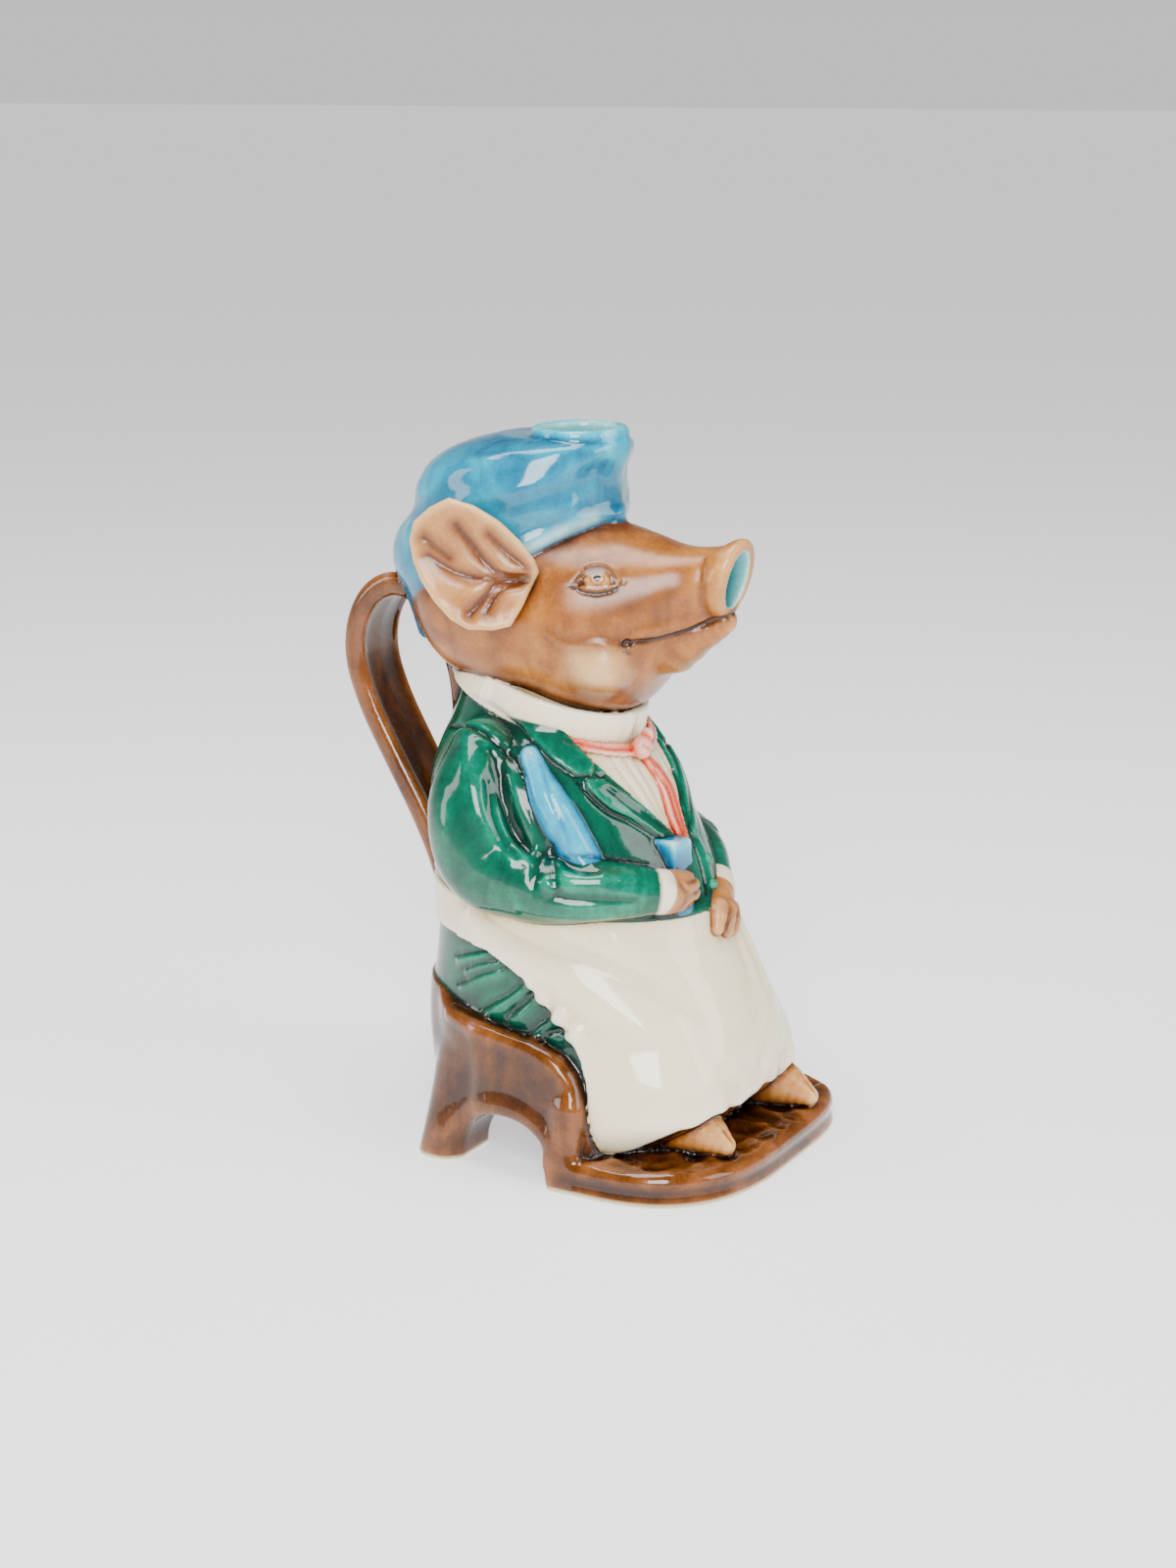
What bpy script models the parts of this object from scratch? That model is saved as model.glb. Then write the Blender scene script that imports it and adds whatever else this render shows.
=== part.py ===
# Pig pitcher: a cast earthenware jug in the shape of a seated pig in cap, jacket and apron, on a stool.
# The jug fills through the open top of the cap and pours through the snout. A strap handle joins nape and seat.
# The pig faces -Y, its right side is -X, and +Z is up. Lengths are in metres.

import math

import bmesh
import bpy
from mathutils import Matrix, Vector

mm = 0.001

# Sizes of the pot.
figure_height = 240 * mm  # from the top of the ground plate to the rim of the cap
plate_thickness = 12 * mm
wall = 5 * mm
floor_thickness = 8 * mm

# Sizes of the openings.
mouth_half_width = 13.5 * mm
mouth_half_length = 12.5 * mm
snout_bore_half_width = 7 * mm
snout_bore_half_height = 9 * mm

# Sizes of the handle.
strap_width = 26 * mm
strap_thickness = 8.5 * mm

# Sizes of the stool.
arch_width = 39 * mm
arch_height = 20 * mm
rear_gap_width = 64 * mm

# The carving is drawn on a figure that is 240 units tall, so one unit is this share of its height.
unit = figure_height / 240
drawn_plate_top = 12

# Fineness of the solid.
remesh_voxel = 1.7 * mm
share_of_faces_kept = 0.062
smoothing_turns = 4


def place(x, y, z):
    """A point of the figure in metres, from its drawn position."""
    return Vector((x * unit, y * unit, plate_thickness + (z - drawn_plate_top) * unit))


def blend_rows(rows, count):
    """Rows of numbers, smoothly interpolated to count rows; the first number of a row is its place."""
    places = [row[0] for row in rows]
    result = []
    for k in range(count):
        at = places[0] + (places[-1] - places[0]) * k / (count - 1)
        i = max(j for j in range(len(rows) - 1) if places[j] <= at or j == 0)
        span = places[i + 1] - places[i]
        t = (at - places[i]) / span
        before, after = max(i - 1, 0), min(i + 2, len(rows) - 1)
        row = [at]
        for c in range(1, len(rows[0])):
            low, high = rows[i][c], rows[i + 1][c]
            slope_low = (high - rows[before][c]) / (places[i + 1] - places[before]) * span
            slope_high = (rows[after][c] - low) / (places[after] - places[i]) * span
            row.append(
                (2 * t**3 - 3 * t**2 + 1) * low
                + (t**3 - 2 * t**2 + t) * slope_low
                + (3 * t**2 - 2 * t**3) * high
                + (t**3 - t**2) * slope_high
            )
        result.append(row)
    return result


def oval(half_width, half_depth, squareness, sides):
    """Points of an oval that gets squarer as squareness rises above 2."""
    points = []
    for k in range(sides):
        angle = 2 * math.pi * k / sides
        c, s = math.cos(angle), math.sin(angle)
        points.append(
            (
                half_width * math.copysign(abs(c) ** (2 / squareness), c),
                half_depth * math.copysign(abs(s) ** (2 / squareness), s),
            )
        )
    return points


def skin(rings):
    """A closed mesh through rings of points, capped at both ends, with its faces pointing out."""
    bm = bmesh.new()
    loops = [[bm.verts.new(p) for p in ring] for ring in rings]
    for lower, upper in zip(loops, loops[1:]):
        for k in range(len(lower)):
            n = (k + 1) % len(lower)
            bm.faces.new((lower[k], lower[n], upper[n], upper[k]))
    bm.faces.new(list(reversed(loops[0])))
    bm.faces.new(loops[-1])
    bmesh.ops.recalc_face_normals(bm, faces=bm.faces)
    return bm


def rising_form(stations, levels=24, sides=40, inset=0.0):
    """A form sliced level by level. A station is (z, y of centre, half width, half depth, squareness)."""
    rings = []
    for z, y, half_width, half_depth, squareness in blend_rows(stations, levels):
        outline = oval(half_width * unit - inset, half_depth * unit - inset, squareness, sides)
        centre = place(0, y, z)
        rings.append([centre + Vector((px, py, 0)) for px, py in outline])
    return skin(rings)


def forward_form(stations, levels=24, sides=36, inset=0.0):
    """A form sliced from front to back. A station is (y, z of centre, half width, half height, squareness)."""
    rings = []
    for y, z, half_width, half_height, squareness in blend_rows(stations, levels):
        outline = oval(half_width * unit - inset, half_height * unit - inset, squareness, sides)
        centre = place(0, y, z)
        lean = snout_lean * min(max((-30 - y) / 30, 0), 1)
        rings.append([centre + Vector((px, -pz * lean, pz)) for px, pz in outline])
    return skin(rings)


def limb(points, sides=16, flatten=None):
    """A round limb through points (x, y, z, radius), with ball ends; flatten is (axis vector, share)."""
    rows = blend_rows([(k, *p) for k, p in enumerate(points)], 6 * len(points))
    path = [place(x, y, z) for _, x, y, z, _ in rows]
    radii = [r * unit for *_, r in rows]
    rings = []
    ball_steps = 4
    for end, sign in ((0, -1), (-1, 1)):
        beside = path[1] if end == 0 else path[-2]
        way = (path[end] - beside).normalized()
        ball = []
        for k in range(1, ball_steps + 1):
            angle = 0.49 * math.pi * k / ball_steps
            ball.append((path[end] + way * radii[end] * math.sin(angle), radii[end] * math.cos(angle)))
        rings.append(ball)
    line = list(reversed(rings[0])) + list(zip(path, radii)) + rings[1]
    loops = []
    side = None
    for k, (centre, radius) in enumerate(line):
        ahead = line[min(k + 1, len(line) - 1)][0]
        behind = line[max(k - 1, 0)][0]
        tangent = (ahead - behind).normalized()
        if side is None:
            side = tangent.orthogonal().normalized()
        side = (side - tangent * side.dot(tangent)).normalized()
        other = tangent.cross(side)
        loops.append(
            [centre + side * px + other * py for px, py in oval(radius, radius, 2, sides)]
        )
    bm = skin(loops)
    if flatten:
        axis, share, centre = Vector(flatten[0]).normalized(), flatten[1], path[len(path) // 2]
        for vert in bm.verts:
            vert.co -= axis * (vert.co - centre).dot(axis) * (1 - share)
    return bm


def mirrored(bm):
    """The same form on the pig's other side."""
    twin = bm.copy()
    bmesh.ops.scale(twin, vec=(-1, 1, 1), verts=twin.verts)
    bmesh.ops.reverse_faces(twin, faces=twin.faces)
    return twin


def ground_plate():
    """The slab that the feet rest on: a rounded outline, squarer on the pig's left, with a soft upper edge."""
    centre_y, half_width, half_depth, edge = -37, 60, 52, 4
    squareness_right, squareness_left = 2.8, 4.4
    deep = plate_thickness / unit
    rings = []
    for drop, draw_in in ((deep + 7, 2.5), (deep + 1, 1.5), (deep * 0.5, 0), (edge * 0.6, 0), (0, edge)):
        size = (half_width - draw_in) * unit, (half_depth - draw_in) * unit
        right = oval(*size, squareness_right, 48)
        left = oval(*size, squareness_left, 48)
        outline = [left[k] if left[k][0] > 0 else right[k] for k in range(48)]
        centre = place(0, centre_y, drawn_plate_top - drop)
        rings.append([centre + Vector((px, py, 0)) for px, py in outline])
    return skin(rings)


def cut_off(bm, point, normal):
    """Removes what lies on the normal's side of a plane and closes the form there."""
    bmesh.ops.bisect_plane(
        bm,
        geom=bm.verts[:] + bm.edges[:] + bm.faces[:],
        plane_co=point,
        plane_no=normal,
        clear_outer=True,
    )
    rim = [edge for edge in bm.edges if edge.is_boundary]
    bmesh.ops.holes_fill(bm, edges=rim, sides=0)
    bmesh.ops.recalc_face_normals(bm, faces=bm.faces)
    return bm


def stool():
    """The seat that wraps the pig's rump: round behind, square in front, its top sloping forwards."""
    behind = rising_form(
        [
            (-9, -2, 57, 42, 2.6),
            (8, -2, 55.5, 40, 2.5),
            (20, -1, 54, 38, 2.4),
            (34, 0, 53.5, 38, 2.3),
            (46, 0, 53.5, 39, 2.3),
            (52, 0, 53, 38.5, 2.3),
            (54.5, 0, 50, 36, 2.3),
        ],
        levels=22,
    )
    before = rising_form(
        [
            (-9, -16, 57.5, 29, 6),
            (14, -16, 56, 28, 6),
            (30, -15, 55.5, 27, 6),
            (40, -12, 55, 25, 6),
            (46, -9, 54.5, 23, 6),
            (74, -4, 53, 20, 5),
        ],
        levels=18,
    )
    edge_front, edge_back = place(0, -33, 45.5), place(0, 12, 55)
    slope = (edge_back - edge_front).normalized()
    upward = Vector((1, 0, 0)).cross(slope)
    return [behind, cut_off(before, edge_front, upward)]


def stool_feet():
    """The two rear feet, which spread outwards as they go down."""
    foot = limb([(-38, 16, 30, 13), (-44, 20, 14, 9.5), (-49, 23, -2, 8)])
    return [foot, mirrored(foot)]


def seat_spine():
    """The broad ridge up the pig's back that carries the foot of the handle."""
    return limb([(0, 37, 34, 14), (0, 37, 60, 13), (0, 39, 84, 10)], flatten=((0, 1, 0), 0.9))


lap_stations = [
    (9, -15, 46, 44, 3.0),
    (16, -17, 49, 50, 3.2),
    (24, -20, 50, 55.5, 3.8),
    (34, -18.5, 49.5, 58.5, 3.3),
    (49, -14.5, 48, 60.5, 2.5),
    (65, -11, 46.5, 57.5, 2.2),
    (76, -8.6, 46, 54.5, 2.1),
    (90, -6, 43.5, 51.5, 2.0),
]

torso_stations = [
    (82, -5.5, 43, 52, 2.0),
    (92, -4.5, 44.5, 51, 2.0),
    (104, -2, 45, 48.5, 2.0),
    (118, 2, 45, 45, 2.0),
    (132, 5, 43.5, 41, 2.0),
    (142, 7, 38.5, 36, 2.0),
    (150, 8, 32, 32, 2.0),
    (160, 8, 28, 29, 2.0),
    (172, 8, 27, 28, 2.0),
]

head_stations = [
    (-66, 204.5, 10.5, 12.5, 2.0),
    (-63, 204.2, 11.5, 13.3, 2.0),
    (-58, 202, 11.8, 13.4, 2.1),
    (-50, 197, 14.5, 17, 2.2),
    (-41, 191.5, 20.5, 22.5, 2.3),
    (-30, 187.5, 27.5, 29.5, 2.2),
    (-16, 187, 34, 33, 2.1),
    (2, 189, 37, 34, 2.0),
    (22, 190, 36.5, 32, 2.0),
    (40, 192, 31, 27, 2.0),
    (52, 194, 20, 18, 2.0),
]
snout_lean = 0.24  # how far the top of the snout's end stands forward of its bottom, for each unit of height

cap_stations = [
    (186, 26, 30, 34, 2.0),
    (196, 25, 34.5, 39, 2.0),
    (208, 24, 37.5, 42, 2.0),
    (214, 22, 38, 41.5, 2.0),
    (222, 18.5, 36, 38.5, 2.0),
    (232, 17, 35.5, 37.5, 2.0),
    (239, 14.5, 33.5, 35, 2.0),
    (243.5, 10, 30.5, 32, 2.0),
    (247, 5, 25.5, 27.5, 2.0),
    (249.5, 1, 18, 22, 2.0),
]
mouth_centre = -5.5  # how far the mouth's middle lies behind the pig's own middle, in drawn units


def cap():
    """The soft cap: a puffed form, cut off below on a slope, with a pinched peak in front."""
    crown = rising_form(cap_stations, levels=30)
    brow, nape = place(0, -26, 217), place(0, 44, 176)
    slope = (nape - brow).normalized()
    downward = Vector((-1, 0, 0)).cross(slope)
    if downward.z > 0:
        downward = -downward
    cut_off(crown, brow, downward)
    peak = limb([(0, -15, 216, 6.5), (0, -11.5, 233, 7), (0, -16, 244, 7.5)])
    thickness = 2.4
    lip = []
    for k in range(19):
        angle = 2 * math.pi * k / 18
        across = (mouth_half_width / unit + 1.9) * math.sin(angle)
        along = mouth_centre + (mouth_half_length / unit + 1.9) * math.cos(angle)
        lip.append((across, along, 249.7, thickness))
    return [crown, peak, limb(lip, sides=12)]


def collar():
    """The upright white collar, a ring that leans with the neck."""
    front, back = place(0, -28, 150), place(0, 40, 167)
    centre = (front + back) / 2
    lean = math.atan2(back.z - front.z, back.y - front.y)
    half_depth, half_width, half_band, half_thickness = 35 * unit, 30 * unit, 5 * unit, 2.2 * unit
    rings = []
    for side_z, side_r in ((-1, 0.4), (-0.7, 1), (0.7, 1), (1, 0.4)):
        grow = half_thickness * side_r
        outline = oval(half_width + grow, half_depth + grow, 2, 40)
        rings.append([Vector((px, py, half_band * side_z)) for px, py in outline])
    band = skin(rings)
    bmesh.ops.transform(band, matrix=Matrix.Translation(centre) @ Matrix.Rotation(lean, 4, "X"), verts=band.verts)
    return band


def ear():
    """One ear: a broad cupped leaf that grows from the side of the head and lies back over the cap."""
    root, tip = place(-36, -8, 206), place(-52, 31, 212)
    along = (tip - root).normalized()
    outward = (Vector((-1, -0.35, 0.1)) - along * Vector((-1, -0.35, 0.1)).dot(along)).normalized()
    across = outward.cross(along)
    length = (tip - root).length
    outline = blend_rows(
        [(0, 5, 1), (0.12, 13.5, 3.5), (0.24, 16.3, 3), (0.42, 19.2, 1), (0.57, 19, -1), (0.72, 17, -4), (0.86, 11.6, -5), (1, 4, -8)],
        16,
    )
    thickness, cup, sides = 3.2 * unit, 3.4 * unit, 20
    rings = []
    for share, half_width, shift in outline:
        ring = []
        for px, py in oval(half_width * unit, thickness, 2.2, sides):
            bend = cup * (px / (20 * unit)) ** 2
            centre = root + along * length * share + across * shift * unit
            ring.append(centre + across * px + outward * (py + bend))
        rings.append(ring)
    return skin(rings)


def apron():
    """The apron: a sheet over lap and shins, thicker than the form below, with its edge swept to the back."""
    rings = []
    thickness = 1.8
    for z, y, half_width, half_depth, squareness in blend_rows(lap_stations, 18):
        share = (z - 9) / (90 - 9)
        reach = 150 + 95 * share**1.6
        steps = 30
        outer, inner = [], []
        for k in range(steps + 1):
            angle = math.radians(-90 - reach / 2 + reach * k / steps)
            c, s = math.cos(angle), math.sin(angle)
            spread = math.copysign(abs(c) ** (2 / squareness), c), math.copysign(abs(s) ** (2 / squareness), s)
            outer.append(place((half_width + thickness) * spread[0], y + (half_depth + thickness) * spread[1], z))
            inner.append(place((half_width - 3) * spread[0], y + (half_depth - 3) * spread[1], z))
        rings.append(outer + list(reversed(inner)))
    return skin(rings)


def arms():
    """Both sleeves with their cuffs and trotters: the right one grips a bottle's neck, the left lies on the lap."""
    right = [(-31, 13, 141, 14), (-40, 13, 124, 16), (-42, 6, 106, 16), (-41, -14, 98, 14), (-33, -38, 98.5, 11)]
    left = [(31, 13, 141, 14), (40, 13, 124, 16), (42, 6, 106, 16), (41, -16, 97, 13.5), (30, -40, 93, 10.5)]
    right_fist = [(-30, -42, 99, 8), (-22, -50, 100, 7.5), (-16, -53, 99, 6.5)]
    left_fist = [(22, -46, 93, 8.5), (12, -53, 88, 7.5), (5, -58.5, 80, 6)]
    return [limb(row) for row in (right, left, right_fist, left_fist)]


def bottle():
    """The bottle tucked between the right sleeve and the chest."""
    return limb([(-33, -5, 146, 3.8), (-35, -9, 139, 4.6), (-38, -15, 129, 6.3), (-39, -22, 119, 6.6), (-39, -25, 115, 6)])


def front_of_chest(z):
    """How far forward the torso reaches at a drawn height."""
    rows = blend_rows(torso_stations, 91)
    row = min(rows, key=lambda r: abs(r[0] - z))
    return row[1] - row[3]


def tie():
    """The knotted neckerchief: a band round the collar, a knot and a tail down the shirt."""
    knot_z = 143
    knot = limb([(-2.5, front_of_chest(knot_z) - 0.5, knot_z, 3.6), (2.5, front_of_chest(knot_z) - 0.5, knot_z, 3.6)])
    tail = [(0, front_of_chest(z) + 1, z, r) for z, r in ((140, 2.4), (132, 3.2), (122, 4), (113, 4))]
    return [knot, limb(tail)]


def lapel():
    """The right lapel, a folded edge from nape to waist; its twin is its mirror image."""
    edge = [(-30, 14, 158, 2.5), (-28, -12, 148, 3), (-25, -27, 135, 3.6), (-17, -38, 122, 3.6), (-8, -46, 108, 2.6)]
    return limb(edge)


def trotters():
    """The feet that show below the hem: blunt wedges that point forwards."""
    right = limb([(-25, -50, 19, 12), (-26, -66, 18.5, 9.5), (-27, -78, 15.5, 4)])
    left = limb([(26, -54, 19, 12), (27, -70, 18.5, 9.5), (28, -83, 15.5, 4)])
    return [right, left]


def snout_rim():
    """The thickened ring round the end of the snout."""
    rows = [(-66, 204.5, 11, 12.8, 2), (-64.5, 204.5, 12.4, 14, 2), (-62, 204, 12.4, 13.8, 2), (-59, 203, 10.5, 12, 2)]
    return forward_form(rows, levels=8)


def handle():
    """The strap handle: up the nape, over and down to the ridge on the back."""
    route = [
        (36, 150),
        (38, 164),
        (44, 179),
        (53, 189),
        (64, 192.5),
        (74, 188),
        (80.5, 177),
        (81.5, 163),
        (76, 147),
        (66, 129),
        (56, 112),
        (48.5, 97),
        (43, 82),
    ]
    path = [place(0, y, z) for _, y, z in blend_rows([(k, *p) for k, p in enumerate(route)], 54)]
    rings = []
    for k, centre in enumerate(path):
        tangent = (path[min(k + 1, len(path) - 1)] - path[max(k - 1, 0)]).normalized()
        outward = Vector((1, 0, 0)).cross(tangent).normalized()
        outline = oval(strap_width / 2, strap_thickness / 2, 3.4, 20)
        rings.append([centre + Vector((px, 0, 0)) + outward * py for px, py in outline])
    return skin(rings)


def body_hollow():
    """The hollow of lap, trunk and neck, as one slice after another from the floor to the head."""
    floor_z = drawn_plate_top + (arch_height + floor_thickness - plate_thickness) / unit
    seat_back = 36
    lap = [
        (z, y, w - 1, d - 1, s)
        for z, y, w, d, s in blend_rows(lap_stations, 30)
        if z > floor_z + 2
    ]
    lowest = lap[0]
    rows = [(floor_z, lowest[1], lowest[2] - 5, lowest[3] - 5, 2.2)] + lap[1:20:3] + torso_stations[2:8]
    kept = []
    for z, y, half_width, half_depth, squareness in rows:
        back = min(y + half_depth, seat_back + (z - floor_z) * 0.25)
        front = y - half_depth
        kept.append((z, (front + back) / 2, half_width, (back - front) / 2, squareness))
    return rising_form(kept + [(176, 6, 26, 27, 2)], levels=15, sides=22, inset=wall)


def head_hollow():
    """The hollow of the head, which runs forward into the snout."""
    rows = [row for row in head_stations if -45 < row[0] < 45]
    return forward_form(rows, levels=9, sides=22, inset=wall)


def snout_bore():
    """The spout: an oval passage from the head to the end of the snout."""
    rings = []
    ends = ((-76, 205.5, 1.0), (-62, 203.5, 1.0), (-48, 198, 1.2), (-32, 192, 1.9))
    for _, y, z, share in blend_rows([(k, *p) for k, p in enumerate(ends)], 5):
        outline = oval(snout_bore_half_width * share, snout_bore_half_height * share, 2, 20)
        centre = place(0, y, z)
        rings.append([centre + Vector((px, 0, pz)) for px, pz in outline])
    return skin(rings)


def cap_hollow():
    """The hollow of the cap, which narrows to the mouth and runs out through the rim."""
    inside = [row for row in cap_stations if 205 < row[0] < 241]
    rings = []
    for z, y, half_width, half_depth, squareness in blend_rows(inside, 5):
        outline = oval(half_width * unit - wall, half_depth * unit - wall, squareness, 24)
        centre = place(0, y, z)
        rings.append([centre + Vector((px, py, 0)) for px, py in outline])
    for z, y in ((245.5, mouth_centre + 1), (250, mouth_centre), (262, mouth_centre)):
        outline = oval(mouth_half_width, mouth_half_length, 2, 24)
        centre = place(0, y, z)
        rings.append([centre + Vector((px, py, 0)) for px, py in outline])
    return skin(rings)


def arch_through():
    """The arch under the seat, from one side to the other."""
    rings = []
    half_length = 90 * unit
    for x in (-half_length, half_length):
        outline = oval(arch_width / 2, arch_height, 2.3, 32)
        rings.append([Vector((x, py - 5.5 * unit, pz)) for py, pz in outline])
    return skin(rings)


def arch_behind():
    """The gap between the rear feet, open to the back."""
    rings = []
    for y in (-5 * unit, 90 * unit):
        outline = oval(rear_gap_width / 2, arch_height, 2.6, 32)
        rings.append([Vector((px, y, pz)) for px, pz in outline])
    return skin(rings)


def below_ground():
    """All that lies under the plane that the pitcher stands on."""
    half, deep = 200 * mm, 60 * mm
    bm = bmesh.new()
    bmesh.ops.create_cube(bm, size=1)
    bmesh.ops.scale(bm, vec=(2 * half, 2 * half, deep), verts=bm.verts)
    bmesh.ops.translate(bm, vec=(0, 0, -deep / 2), verts=bm.verts)
    return bm


def joined_mesh(name, forms):
    """One mesh that holds all the forms, still overlapping."""
    whole = bmesh.new()
    for form in forms:
        part = bpy.data.meshes.new("part")
        form.to_mesh(part)
        whole.from_mesh(part)
        bpy.data.meshes.remove(part)
        form.free()
    mesh = bpy.data.meshes.new(name)
    whole.to_mesh(mesh)
    whole.free()
    return mesh


def cutter(name, form, parent):
    """A hidden object that takes its shape away from the pitcher."""
    obj = bpy.data.objects.new(name, joined_mesh(name, [form]))
    obj.hide_render = True
    obj.display_type = "WIRE"
    obj.parent = parent
    bpy.context.scene.collection.objects.link(obj)
    return obj


def glazed_earthenware():
    """The material of the whole pot: glossy earthenware, in the brown of its glaze."""
    material = bpy.data.materials.new("glazed_earthenware")
    material.use_nodes = True
    shader = material.node_tree.nodes["Principled BSDF"]
    shader.inputs["Base Color"].default_value = (0.36, 0.17, 0.07, 1)
    shader.inputs["Roughness"].default_value = 0.12
    shader.inputs["Metallic"].default_value = 0.0
    return material


def build_pitcher():
    """The whole pitcher as one solid, standing at the middle of its own footprint."""
    frame = bpy.data.objects.new("pitcher_frame", None)
    bpy.context.scene.collection.objects.link(frame)

    one_ear = ear()
    one_lapel = lapel()
    forms = [ground_plate(), *stool(), *stool_feet(), seat_spine()]
    forms += [rising_form(lap_stations), rising_form(torso_stations), apron(), *arms(), bottle(), *tie()]
    forms += [one_lapel, mirrored(one_lapel), collar(), *trotters()]
    forms += [forward_form(head_stations), snout_rim(), one_ear, mirrored(one_ear), *cap(), handle()]

    pitcher = bpy.data.objects.new("pig_pitcher", joined_mesh("pig_pitcher", forms))
    pitcher.data.materials.append(glazed_earthenware())
    pitcher.parent = frame
    bpy.context.scene.collection.objects.link(pitcher)

    fuse = pitcher.modifiers.new("fuse", "REMESH")
    fuse.mode = "VOXEL"
    fuse.voxel_size = remesh_voxel
    soften = pitcher.modifiers.new("soften", "SMOOTH")
    soften.iterations = smoothing_turns
    thin = pitcher.modifiers.new("thin", "DECIMATE")
    thin.ratio = share_of_faces_kept

    cuts = {
        "below_ground": below_ground(),
        "body_hollow": body_hollow(),
        "head_hollow": head_hollow(),
        "cap_hollow": cap_hollow(),
        "snout_bore": snout_bore(),
        "arch_through": arch_through(),
        "arch_behind": arch_behind(),
    }
    for name, form in cuts.items():
        cut = pitcher.modifiers.new(name, "BOOLEAN")
        cut.operation = "DIFFERENCE"
        cut.object = cutter(name + "_cutter", form, frame)

    bpy.context.view_layer.update()
    graph = bpy.context.evaluated_depsgraph_get()
    corners = [Vector(corner) for corner in pitcher.evaluated_get(graph).bound_box]
    low = Vector(min(c[i] for c in corners) for i in range(3))
    high = Vector(max(c[i] for c in corners) for i in range(3))
    frame.location = (-(low.x + high.x) / 2, -(low.y + high.y) / 2, 0)


for obj in list(bpy.data.objects):
    bpy.data.objects.remove(obj)
build_pitcher()
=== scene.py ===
import math

import bmesh
import bpy
import numpy as np
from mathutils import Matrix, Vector


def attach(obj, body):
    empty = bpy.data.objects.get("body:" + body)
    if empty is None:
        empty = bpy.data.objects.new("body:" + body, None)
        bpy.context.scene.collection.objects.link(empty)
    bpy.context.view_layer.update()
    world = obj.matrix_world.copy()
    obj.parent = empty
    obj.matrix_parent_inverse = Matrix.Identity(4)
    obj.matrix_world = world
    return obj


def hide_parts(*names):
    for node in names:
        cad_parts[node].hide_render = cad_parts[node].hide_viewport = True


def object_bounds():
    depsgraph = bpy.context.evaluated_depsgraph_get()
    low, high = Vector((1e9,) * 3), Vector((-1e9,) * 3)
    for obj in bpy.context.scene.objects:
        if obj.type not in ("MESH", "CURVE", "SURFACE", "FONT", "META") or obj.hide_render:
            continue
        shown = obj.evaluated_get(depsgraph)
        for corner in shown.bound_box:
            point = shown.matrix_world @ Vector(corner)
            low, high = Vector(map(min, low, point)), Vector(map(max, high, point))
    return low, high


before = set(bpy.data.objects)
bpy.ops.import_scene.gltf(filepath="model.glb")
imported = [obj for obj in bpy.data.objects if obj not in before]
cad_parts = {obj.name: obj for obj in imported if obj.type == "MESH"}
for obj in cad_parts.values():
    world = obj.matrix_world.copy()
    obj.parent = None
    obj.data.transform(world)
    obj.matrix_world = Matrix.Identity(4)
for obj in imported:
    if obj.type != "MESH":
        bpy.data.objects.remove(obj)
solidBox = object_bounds()

# The pot is modelled as one clay body in millimetres, as a distance that is negative inside the clay.
# The pig faces -Y and its right side is -X. Only at the end does it move onto the CAD solid's place.
clay = {
    "spacing": 0.75,  # fineness of the clay grid, mm
    "triangles": 192000,  # most triangles in the finished pot
    "crumb": 200,  # islands with fewer triangles than this are dropped
    "lineCare": 0.05,  # how strongly the thinning spares the lines of eyes, mouth, ears and seams
    "wall": 5.0,  # thickness of the cast wall, mm
    "shiftBack": 1.413,  # from the drawing's middle to the footprint's middle, mm
    "corner": (-64.0, -92.0, -3.0),  # lowest corner of the clay grid, mm
    "extent": (128, 184, 259),  # size of the clay grid, mm
    "lineStep": 1.6,  # spacing of the points along a drawn line, mm
    "evening": (0.5, -0.52, 0.5, -0.52),  # shares of the way to the neighbours' middle, in turn
}


def fairTable(rows, count=120):
    # a smooth table through a few given rows, by their first column
    rows = np.array(rows, float)
    places, values = rows[:, 0], rows[:, 1:]
    slopes = np.gradient(values, places, axis=0)
    at = np.linspace(places[0], places[-1], count)
    i = np.clip(np.searchsorted(places, at, side="right") - 1, 0, len(places) - 2)
    span = (places[i + 1] - places[i])[:, None]
    t = (at - places[i])[:, None] / span
    low, high = values[i], values[i + 1]
    body = (2 * t**3 - 3 * t**2 + 1) * low + (3 * t**2 - 2 * t**3) * high
    body += ((t**3 - 2 * t**2 + t) * slopes[i] + (t**3 - t**2) * slopes[i + 1]) * span
    return np.hstack([at[:, None], body])


def softMin(a, b, k):
    # both forms together, with a fillet about k wide
    h = np.clip(0.5 + 0.5 * (b - a) / k, 0, 1)
    return b + (a - b) * h - k * h * (1 - h)


def softMax(a, b, k):
    # only what both forms share, with the edge eased over k
    return -softMin(-a, -b, k)


def roundedBoth(a, b, r):
    # only what both forms share, with an edge of radius r
    a, b = a + r, b + r
    return np.minimum(np.maximum(a, b), 0) + np.hypot(np.maximum(a, 0), np.maximum(b, 0)) - r


def ovalDistance(u, v, w, d, n, slope=0.0):
    # to an oval with half sizes w and d, squarer as n grows; slope tells how much its sides lean
    au, av = np.abs(u) / w, np.abs(v) / d
    g = (au**n + av**n) ** (1 / n) + 1e-6
    gu, gv = (au / g) ** (n - 1), (av / g) ** (n - 1)
    rise = slope(au, av, gu, gv, v) if slope else 0.0
    return (g - 1) / np.sqrt((gu / w) ** 2 + (gv / d) ** 2 + rise**2)


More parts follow.
